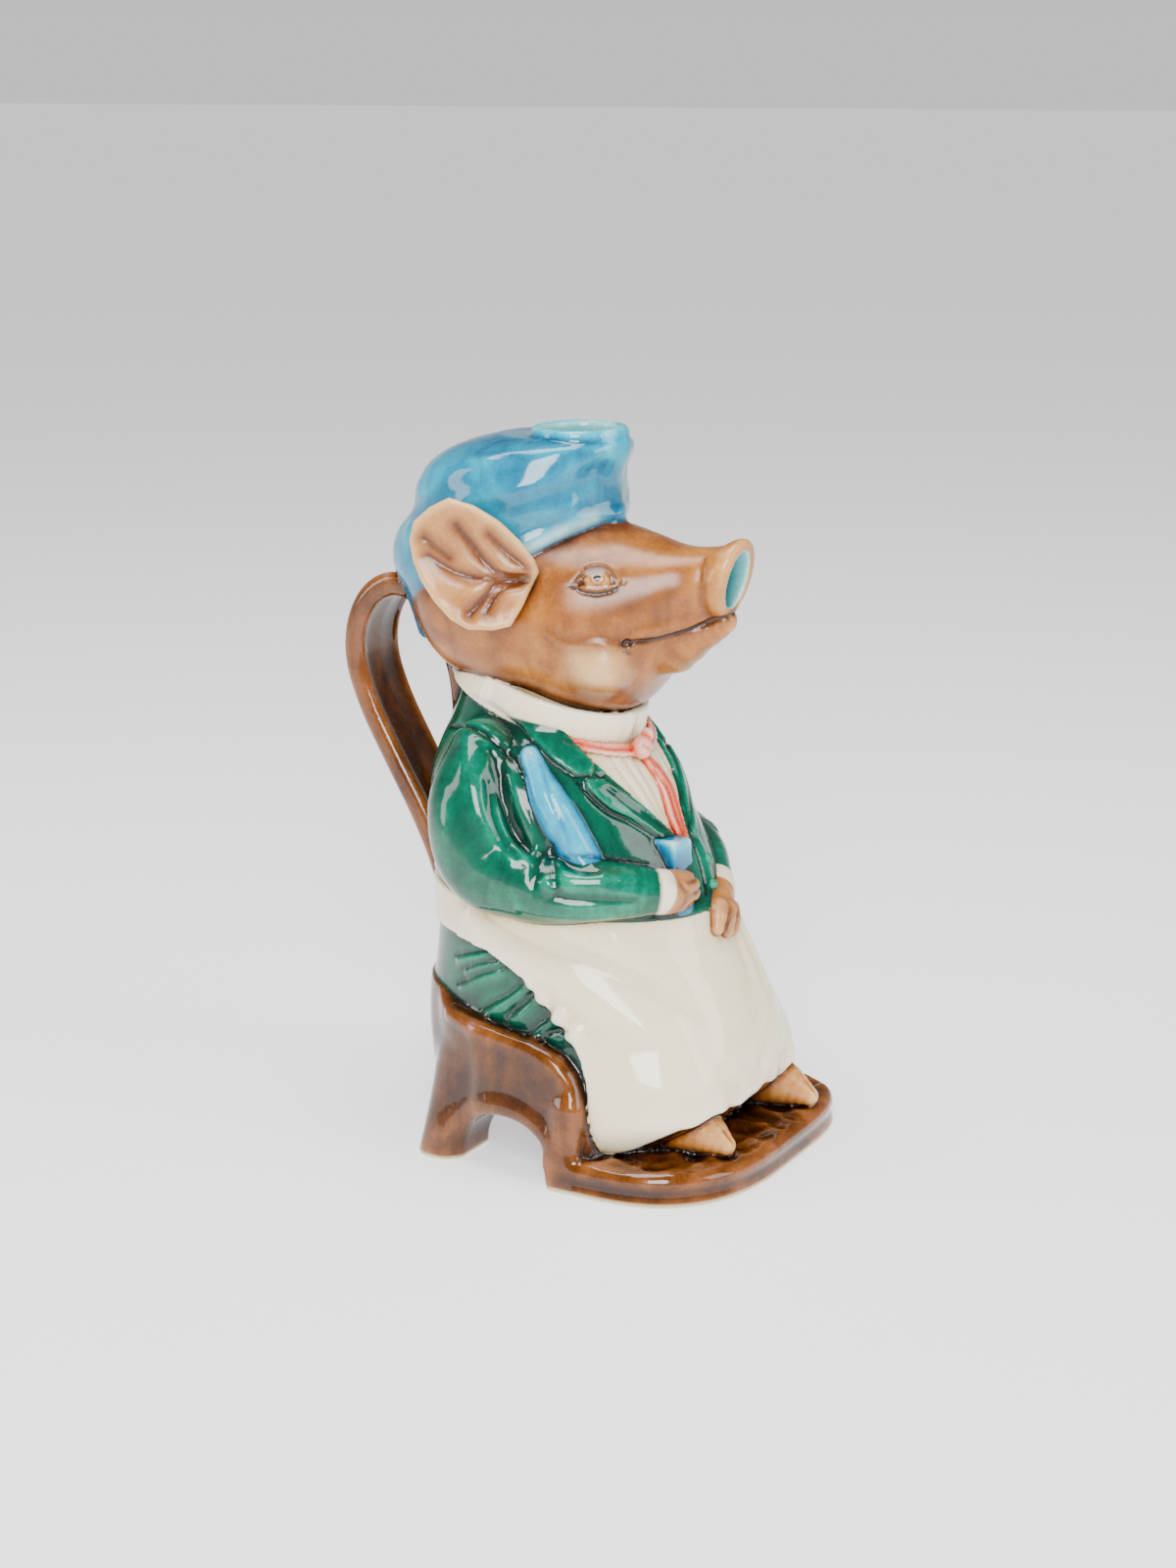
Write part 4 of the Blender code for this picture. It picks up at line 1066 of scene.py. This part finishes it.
def paintZones(mesh):
    points = pointsOf(mesh) * 1000
    gaps = {name: np.full(len(points), 9.0) for name in glazes}

    def layerOf(name, values):
        mesh.attributes.new(name, "FLOAT", "POINT").data.foreach_set("value", np.asarray(values, np.float32))

    def near(shape, pad):
        return np.flatnonzero(np.all((points > shape["low"] - pad) & (points < shape["high"] + pad), axis=1))

    def spread(item, name, pad, reach, values):
        # colour that fades away from a drawn line: painted lines, brown tint and painted shade
        if item.get(name, 0) > 0:
            picked = near(item["centre"], pad)
            away = item["centre"]["at"](*points[picked].T) / reach
            values[picked] = np.maximum(values[picked], item[name] * np.exp(-(away**2)))

    ink, stain = np.zeros(len(points)), np.zeros(len(points))
    for item in work:
        zone, shape = item["zone"], item["shape"]
        if zone is not None and not item["cut"]:
            picked = near(shape, 7)
            gaps[zone][picked] = np.minimum(gaps[zone][picked], shape["at"](*points[picked].T))
        spread(item, "ink", 3, 0.62 * (item.get("radius") or 0) + 0.38, ink)
        spread(item, "stain", 9, 3.6, stain)
    stack = np.stack([gaps[name] for name in glazes])
    order = np.sort(stack, axis=0)
    first, second = order[0], order[1]
    for k, name in enumerate(glazes):
        others = np.where(stack[k] <= first + 1e-9, second, first)
        layerOf(name + "Lead", np.clip(others - stack[k], -1.5, 1.5))
    inner = np.full(len(points), -1.5)
    picked = near(hollow, 3)
    x, y, z = points[picked].T
    inner[picked] = np.clip((0.7 - np.abs(hollow["at"](x, y, z))) * 3, -1.5, 1.5)
    layerOf("insideLead", inner)
    # painted shade makes the face darker towards cap, collar and ears and under the jaw, and the face is
    # paler on the cheek under the run of glaze
    x, y, z = points.T
    nearest = np.min([gaps[name] for name in glazes if name != "flesh"], axis=0)
    flesh = np.clip(1.5 * (nearest - gaps["flesh"]) + 0.2, 0, 1)
    # painted shade where the cap, collar and ears meet the face
    for name, strength, reach in (("cap", 0.55, 4.0), ("cream", 0.75, 5.5), ("tan", 0.4, 3.5)):
        stain = np.maximum(stain, strength * flesh * np.exp(-(np.clip(gaps[name], 0, 9) / reach) ** 2))
    ax = np.abs(x)
    # painted shade under the jaw, darker lower down
    jawShade = np.clip((np.interp(y, [-66, -40, -20, 30], [189, 176, 170, 176]) - z) / 14, 0, 1)
    stain = np.maximum(stain, 0.6 * flesh * jawShade)
    cheek = np.exp(-(((y + 27.5) / 8.5) ** 4) - (((z - 175.5) / 7.0) ** 4))
    cheek = cheek * np.clip(183.6 - z, 0, 1) * np.clip(ax - 16, 0, 1)
    layerOf("pale", np.clip(cheek, 0, 1))
    # a painted highlight along the brim roll on the cap's lower front
    edge = [(-31, -3.5, 213, 0.0), (-26, -9.5, 216.8, 0.0), (-20, -14.5, 219.8, 0.0), (-12, -18.5, 222, 0.0)]
    brim = rope(edge, far=12.0)
    onCap = np.clip(gaps["flesh"] - gaps["cap"], 0, 1)
    layerOf("brimHighlight", np.exp(-((brim["at"](-ax, y, z) / 2.6) ** 2)) * onCap)
    layerOf("ink", ink)
    layerOf("stain", np.clip(stain * (1 - 0.8 * cheek), 0, 1))
    # darker in hollows and paler on edges, at a fine and a broad reach: glaze pooling and thinning, with
    # painted shade in the creases
    clayShare = np.clip(0.5 - field / h, 0, 1)
    for name, reach in (("finePoolAndShade", 1), ("broadPoolAndShade", 4)):
        layerOf(name, sampleAt(blur(clayShare, reach), low, h, points) - 0.5)


paintZones(potMesh)
print("glaze zones painted")


def settle(mesh):
    # onto the CAD solid's place, and never outside its box
    points = pointsOf(mesh)
    points[:, 1] += clay["shiftBack"] * 0.001
    lowest, highest = np.array(solidBox[0]), np.array(solidBox[1])
    print("visual box mm", np.round(points.min(0) * 1000, 1), np.round(points.max(0) * 1000, 1))
    points = np.clip(points, lowest, highest)
    mesh.vertices.foreach_set("co", points.ravel())
    mesh.polygons.foreach_set("use_smooth", [True] * len(mesh.polygons))
    mesh.update()


settle(potMesh)
pitcher = bpy.data.objects.new("pigPitcher", potMesh)
bpy.context.scene.collection.objects.link(pitcher)

glazeLook = {
    "roughness": 0.095,
    "fleshRoughness": 0.27,
    "fineThinningPoolingAndShade": 1.1,
    "broadPoolingAndShade": 0.75,
    "mottleScale": 46.0,
    "streakScale": 90.0,
    "grainScale": 900.0,
    "peelScales": (160.0, 420.0),
    "peelHeight": 0.00016,
    "bareFoot": 0.0018,  # unglazed below this height, m
}
# each glaze's colours, from thin over edges, through its body, to pooled glaze and painted shade in hollows
glazeRows = {
    "brown": [(0.10, "8a6a72"), (0.26, "824a20"), (0.42, "5a2f08"), (0.58, "361702"), (0.80, "100401")],
    "green": [(0.10, "3c9c84"), (0.28, "007e62"), (0.44, "005640"), (0.60, "00362a"), (0.84, "081512")],
    "cream": [(0.10, "f8f2de"), (0.45, "efe4c6"), (0.62, "dfcea4"), (0.80, "b09868"), (0.98, "4a4030")],
    "coral": [(0.12, "f6c6b2"), (0.38, "e87050"), (0.54, "d03c20"), (0.73, "9c200e"), (0.95, "54100a")],
    "blue": [(0.12, "a4e0e4"), (0.36, "1aa6c4"), (0.52, "007ea6"), (0.70, "00527a"), (0.92, "10202a")],
    "flesh": [(0.12, "d6a060"), (0.34, "b0702c"), (0.50, "8a4c10"), (0.68, "562a06"), (0.90, "200f08")],
    "tan": [(0.12, "dcae74"), (0.38, "c2864a"), (0.54, "9c5e26"), (0.70, "623206"), (0.92, "221008")],
    "eye": [(0.20, "dcac70"), (0.50, "b87c3c"), (0.66, "84501a"), (0.80, "3a1c08"), (0.95, "1a0e06")],
    "cap": [(0.10, "74d0d6"), (0.27, "00a0ba"), (0.43, "007898"), (0.60, "005070"), (0.84, "022a38")],
}
paleRow = [(0.2, "efd0a0"), (0.5, "dcae74"), (0.8, "b87c40")]
insideRow = [(0.20, "9ccfcb"), (0.50, "52a8ae"), (0.70, "2b7f88"), (0.95, "17484e")]
# colours: a painted highlight on the brim, a brown tint with painted shade, dark lines with painted shade in
# grooves, bare clay, and the pupil's ring and pupil
tints = {"brim": "b4dce0", "stain": "8a4f28", "ink": "2a1a12", "bareClay": "cfc29c", "pupilRing": "5a3215",
         "pupil": "1b1e22"}
mottleOf = {"brown": 0.42, "green": 0.36, "cream": 0.10, "coral": 0.22, "blue": 0.34, "flesh": 0.38,
            "tan": 0.2, "eye": 0.1, "cap": 0.40}


def colour(code):
    parts = [int(code[k : k + 2], 16) / 255 for k in (0, 2, 4)]
    return [p / 12.92 if p < 0.04045 else ((p + 0.055) / 1.055) ** 2.4 for p in parts] + [1]


class Nodes:
    def __init__(self, material):
        material.use_nodes = True
        self.tree = material.node_tree
        self.shader = self.tree.nodes["Principled BSDF"]

    def make(self, kind, settings=None, **inputs):
        node = self.tree.nodes.new(kind)
        for name, value in (settings or {}).items():
            setattr(node, name, value)
        for name, value in inputs.items():
            key = int(name[1:]) if name[0] == "i" and name[1:].isdigit() else name
            self.feed(node.inputs[key], value)
        return node

    def feed(self, socket, value):
        if isinstance(value, bpy.types.NodeSocket):
            self.tree.links.new(value, socket)
        else:
            socket.default_value = value

    def sum(self, a, b):
        return self.make("ShaderNodeMath", {"operation": "ADD"}, i0=a, i1=b).outputs[0]

    def times(self, a, b):
        return self.make("ShaderNodeMath", {"operation": "MULTIPLY"}, i0=a, i1=b).outputs[0]

    def spread(self, value, low, high, toLow=0.0, toHigh=1.0):
        return self.make("ShaderNodeMapRange", None, i0=value, i1=low, i2=high, i3=toLow,
                         i4=toHigh).outputs[0]

    def blend(self, share, a, b, way="MIX"):
        node = self.make("ShaderNodeMix", {"data_type": "RGBA", "blend_type": way})
        for socket, value in ((node.inputs[0], share), (node.inputs[6], a), (node.inputs[7], b)):
            self.feed(socket, value)
        return node.outputs[2]

    def ramp(self, value, stops):
        node = self.make("ShaderNodeValToRGB", None, Fac=value)
        parts = node.color_ramp.elements
        parts[0].position, parts[0].color = stops[0][0], colour(stops[0][1])
        parts[1].position, parts[1].color = stops[-1][0], colour(stops[-1][1])
        for place, code in stops[1:-1]:
            parts.new(place).color = colour(code)
        return node.outputs[0]

    def attribute(self, name):
        return self.make("ShaderNodeAttribute", {"attribute_name": name}).outputs["Fac"]

    def noise(self, vector, scale, detail=3.0, distortion=0.0):
        return self.make("ShaderNodeTexNoise", None, Vector=vector, Scale=scale, Detail=detail,
                         Distortion=distortion).outputs[0]


def makeGlaze():
    material = bpy.data.materials.new("majolicaGlaze")
    n = Nodes(material)
    place = n.make("ShaderNodeTexCoord").outputs["Object"]
    runs = n.make("ShaderNodeMapping", None, Vector=place, Scale=(1.0, 1.0, 0.28)).outputs[0]
    mottle = n.noise(place, glazeLook["mottleScale"], 4.0, 1.2)
    streak = n.noise(runs, glazeLook["streakScale"], 4.0, 0.8)
    grain = n.noise(place, glazeLook["grainScale"], 2.0, 0.3)
    # glaze pooling and thinning, with painted shade in creases and hollows
    pooledAndShaded = n.sum(n.times(n.attribute("finePoolAndShade"), glazeLook["fineThinningPoolingAndShade"]),
                   n.times(n.attribute("broadPoolAndShade"), glazeLook["broadPoolingAndShade"]))
    base = n.sum(pooledAndShaded, 0.5)
    base = n.sum(base, n.times(n.sum(grain, -0.5), 0.14))
    drift = n.sum(n.times(n.sum(mottle, -0.5), 1.3), n.times(n.sum(streak, -0.5), 0.8))
    result = None
    for name in glazes:
        tone = n.ramp(n.sum(base, n.times(drift, mottleOf[name])), glazeRows[name])
        if result is None:
            result = tone
            continue
        result = n.blend(n.spread(n.attribute(name + "Lead"), -0.12, 0.12), result, tone)
    pale = n.ramp(n.sum(base, n.times(drift, 0.3)), paleRow)
    result = n.blend(n.times(n.attribute("pale"), 0.75), result, pale)
    # a painted highlight along the brim roll of the cap
    brim = n.times(n.attribute("brimHighlight"), n.spread(mottle, 0.3, 0.55, 0.35, 0.95))
    result = n.blend(brim, result, colour(tints["brim"]))
    # brown tint with painted shade, then dark lines with painted shade in the grooves, laid over by
    # multiplying
    for name in ("stain", "ink"):
        result = n.blend(n.attribute(name), result, colour(tints[name]), "MULTIPLY")
    inner = n.ramp(n.sum(base, n.times(drift, 0.25)), insideRow)
    result = n.blend(n.spread(n.attribute("insideLead"), -0.2, 0.2), result, inner)
    height = n.make("ShaderNodeSeparateXYZ", None, Vector=place).outputs[2]
    bare = n.spread(height, glazeLook["bareFoot"], 0.0005)
    result = n.blend(bare, result, colour(tints["bareClay"]))
    result = paintPupils(n, place, result)
    n.feed(n.shader.inputs["Base Color"], result)
    fleshy = n.spread(n.attribute("fleshLead"), -0.2, 0.2)
    tanned = n.spread(n.attribute("tanLead"), -0.2, 0.2)
    dull = n.spread(n.sum(fleshy, tanned), 0.0, 1.0, glazeLook["roughness"], glazeLook["fleshRoughness"])
    n.feed(n.shader.inputs["Roughness"], n.sum(dull, n.times(bare, 0.6)))
    n.shader.inputs["IOR"].default_value = 1.5
    broad, fine = glazeLook["peelScales"]
    peel = n.sum(n.noise(place, broad, 2.0, 0.4), n.times(n.noise(place, fine, 2.0, 0.2), 0.25))
    bump = n.make("ShaderNodeBump", None, Strength=0.4, Distance=glazeLook["peelHeight"], Height=peel)
    n.feed(n.shader.inputs["Normal"], bump.outputs[0])
    return material


def paintPupils(n, place, result):
    # both eyes at once: x is taken without its sign
    apart = n.make("ShaderNodeSeparateXYZ", None, Vector=place).outputs
    ax = n.make("ShaderNodeMath", {"operation": "ABSOLUTE"}, i0=apart[0]).outputs[0]
    folded = n.make("ShaderNodeCombineXYZ", None, X=ax, Y=apart[1], Z=apart[2]).outputs[0]
    crest = [item["crest"] for item in work if item["zone"] == "eye"][0]
    px, py, pz = crest[len(crest) // 2]
    middle = Vector((abs(px), py + clay["shiftBack"], pz)) * 0.001
    away = n.make("ShaderNodeVectorMath", {"operation": "DISTANCE"}, i0=folded, i1=middle).outputs["Value"]
    size = face["pupilRadius"] * 0.001
    ring = n.times(n.spread(away, 2.2 * size, 1.9 * size), n.spread(away, 1.5 * size, 1.8 * size))
    result = n.blend(n.times(ring, 0.7), result, colour(tints["pupilRing"]))
    return n.blend(n.spread(away, 1.1 * size, 0.9 * size), result, colour(tints["pupil"]))


glaze = makeGlaze()
potMesh.materials.clear()
potMesh.materials.append(glaze)

# buttons down the jacket's front, set along a line by geometry nodes
buttons = {"radius": 2.1, "height": 1.6, "count": 2, "from": (8.2, -50.5, 103.0), "to": (4.6, -55.2, 95.6)}


def makeButtons():
    tree = bpy.data.node_groups.new("buttonRow", "GeometryNodeTree")
    for way in ("OUTPUT", "INPUT"):
        tree.interface.new_socket("Geometry", in_out=way, socket_type="NodeSocketGeometry")
    sizes = {"Count": buttons["count"], "Radius": buttons["radius"] * 0.001,
             "Height": buttons["height"] * 0.001}
    sockets = {}
    for name, value in sizes.items():
        kind = "NodeSocketInt" if name == "Count" else "NodeSocketFloat"
        sockets[name] = tree.interface.new_socket(name, in_out="INPUT", socket_type=kind)
        sockets[name].default_value = value
    nodes, links = tree.nodes, tree.links
    given, out = nodes.new("NodeGroupInput"), nodes.new("NodeGroupOutput")
    line = nodes.new("GeometryNodeCurvePrimitiveLine")
    ends = []  # both ends of the row are moved onto the clay
    for name in ("from", "to"):
        spot = np.array([buttons[name]], float)
        for _ in range(6):
            slope = slopeAt(field, low, h, spot)
            spot -= sampleAt(field, low, h, spot)[:, None] * slope / np.linalg.norm(slope)
        ends.append(Vector(spot[0]) + Vector((0, clay["shiftBack"], 0)))
    line.inputs["Start"].default_value = ends[0] * 0.001
    line.inputs["End"].default_value = ends[1] * 0.001
    spaced = nodes.new("GeometryNodeCurveToPoints")
    links.new(line.outputs[0], spaced.inputs[0])
    links.new(given.outputs["Count"], spaced.inputs["Count"])
    disc = nodes.new("GeometryNodeMeshUVSphere")
    disc.inputs["Segments"].default_value = 20
    disc.inputs["Rings"].default_value = 10
    links.new(given.outputs["Radius"], disc.inputs["Radius"])
    squash = nodes.new("ShaderNodeMath")
    squash.operation = "DIVIDE"
    links.new(given.outputs["Height"], squash.inputs[0])
    links.new(given.outputs["Radius"], squash.inputs[1])
    size = nodes.new("ShaderNodeCombineXYZ")
    size.inputs[0].default_value = 1.0
    size.inputs[1].default_value = 1.0
    links.new(squash.outputs[0], size.inputs[2])
    place = nodes.new("GeometryNodeInstanceOnPoints")
    place.inputs["Rotation"].default_value = (math.radians(66), 0, math.radians(4))
    links.new(spaced.outputs[0], place.inputs["Points"])
    links.new(disc.outputs[0], place.inputs["Instance"])
    links.new(size.outputs[0], place.inputs["Scale"])
    solid, paint = nodes.new("GeometryNodeRealizeInstances"), nodes.new("GeometryNodeSetMaterial")
    paint.inputs["Material"].default_value = buttonGlaze
    links.new(place.outputs[0], solid.inputs[0])
    links.new(solid.outputs[0], paint.inputs[0])
    links.new(paint.outputs[0], out.inputs[0])
    holder = bpy.data.objects.new("buttonHolder", bpy.data.meshes.new("buttonHolder"))
    bpy.context.scene.collection.objects.link(holder)
    modifier = holder.modifiers.new("buttonRow", "NODES")
    modifier.node_group = tree
    for name, value in sizes.items():
        modifier[sockets[name].identifier] = value
    bpy.context.view_layer.update()
    mesh = bpy.data.meshes.new_from_object(holder.evaluated_get(bpy.context.evaluated_depsgraph_get()))
    bpy.data.objects.remove(holder)
    mesh.name = "jacketButtons"
    mesh.polygons.foreach_set("use_smooth", [True] * len(mesh.polygons))
    obj = bpy.data.objects.new("jacketButtons", mesh)
    bpy.context.scene.collection.objects.link(obj)
    return obj


def makeButtonGlaze():
    material = bpy.data.materials.new("buttonGlaze")
    n = Nodes(material)
    place = n.make("ShaderNodeTexCoord").outputs["Object"]
    tone = n.ramp(n.noise(place, 300.0), [(0.3, "3f9c7c"), (0.5, "0e7f5e"), (0.7, "0a4a38")])
    n.feed(n.shader.inputs["Base Color"], tone)
    n.shader.inputs["Roughness"].default_value = glazeLook["roughness"]
    return material


buttonGlaze = makeButtonGlaze()
jacketButtons = makeButtons()
print("buttons set:", len(jacketButtons.data.polygons), "faces")

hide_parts("pig_pitcher")
for piece in (pitcher, jacketButtons):
    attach(piece, "root")

# studio: pale floor, soft lights and the camera at the photograph's angle
studio = {"azimuth": -60.0, "elevation": 15.0, "distance": 0.9, "target": (-18.0, -19.0, 132.0),
          "lens": 60.5, "air": 0.22, "floorGlow": 0.75}
# each lamp: its place, its size and its power
lamps = {
    "keyLight": ((-1.1, -0.55, 0.85), (0.5, 0.8), 27.0),
    "frontLight": ((0.15, -1.3, 0.65), (0.6, 0.9), 10.0),
    "topLight": ((-0.1, 0.1, 1.35), (0.7, 0.7), 18.0),
    "backLight": ((-0.75, 0.95, 0.5), (0.3, 0.8), 5.0),
}


def makeStudio():
    mesh = bpy.data.meshes.new("floor")
    bm = bmesh.new()
    bmesh.ops.create_grid(bm, x_segments=1, y_segments=1, size=30)
    bm.to_mesh(mesh)
    bm.free()
    floor = bpy.data.objects.new("floor", mesh)
    floor.location.z = -0.0002
    bpy.context.scene.collection.objects.link(floor)
    paper = bpy.data.materials.new("palePaper")
    paper.use_nodes = True
    shader = paper.node_tree.nodes["Principled BSDF"]
    shader.inputs["Base Color"].default_value = (0.8, 0.8, 0.8, 1)
    shader.inputs["Roughness"].default_value = 0.9
    shader.inputs["Emission Color"].default_value = (1, 1, 1, 1)
    shader.inputs["Emission Strength"].default_value = studio["floorGlow"]
    mesh.materials.append(paper)
    for name, (spot, size, power) in lamps.items():
        data = bpy.data.lights.new(name, "AREA")
        data.shape = "RECTANGLE"
        data.size, data.size_y = size
        data.energy = power
        lamp = bpy.data.objects.new(name, data)
        lamp.location = spot
        lamp.rotation_mode = "QUATERNION"
        lamp.rotation_quaternion = (Vector(spot) - Vector((0, 0, 0.12))).to_track_quat("Z", "Y")
        bpy.context.scene.collection.objects.link(lamp)
    # the air is pale at the height of the horizon and dimmer overhead
    world = bpy.data.worlds.new("studioAir")
    world.use_nodes = True
    tree = world.node_tree
    way = tree.nodes.new("ShaderNodeTexCoord")
    apart = tree.nodes.new("ShaderNodeSeparateXYZ")
    ramp = tree.nodes.new("ShaderNodeMapRange")
    tree.links.new(way.outputs["Generated"], apart.inputs[0])
    tree.links.new(apart.outputs[2], ramp.inputs[0])
    for k, value in ((1, 0.02), (2, 0.3), (3, 0.8), (4, studio["air"])):
        ramp.inputs[k].default_value = value
    tree.nodes["Background"].inputs[0].default_value = (1, 1, 1, 1)
    tree.links.new(ramp.outputs[0], tree.nodes["Background"].inputs[1])
    bpy.context.scene.world = world


def makeCamera():
    data = bpy.data.cameras.new("camera")
    data.lens = studio["lens"]
    data.sensor_width = 36.0
    camera = bpy.data.objects.new("camera", data)
    a, e = math.radians(studio["azimuth"]), math.radians(studio["elevation"])
    back = Vector((math.sin(a) * math.cos(e), -math.cos(a) * math.cos(e), math.sin(e)))
    target = (Vector(studio["target"]) + Vector((0, clay["shiftBack"], 0))) * 0.001
    camera.location = target + back * studio["distance"]
    camera.rotation_mode = "QUATERNION"
    camera.rotation_quaternion = back.to_track_quat("Z", "Y")
    data.clip_start, data.clip_end = 0.01, 50
    bpy.context.scene.collection.objects.link(camera)
    bpy.context.scene.camera = camera


makeStudio()
makeCamera()
print("studio ready")
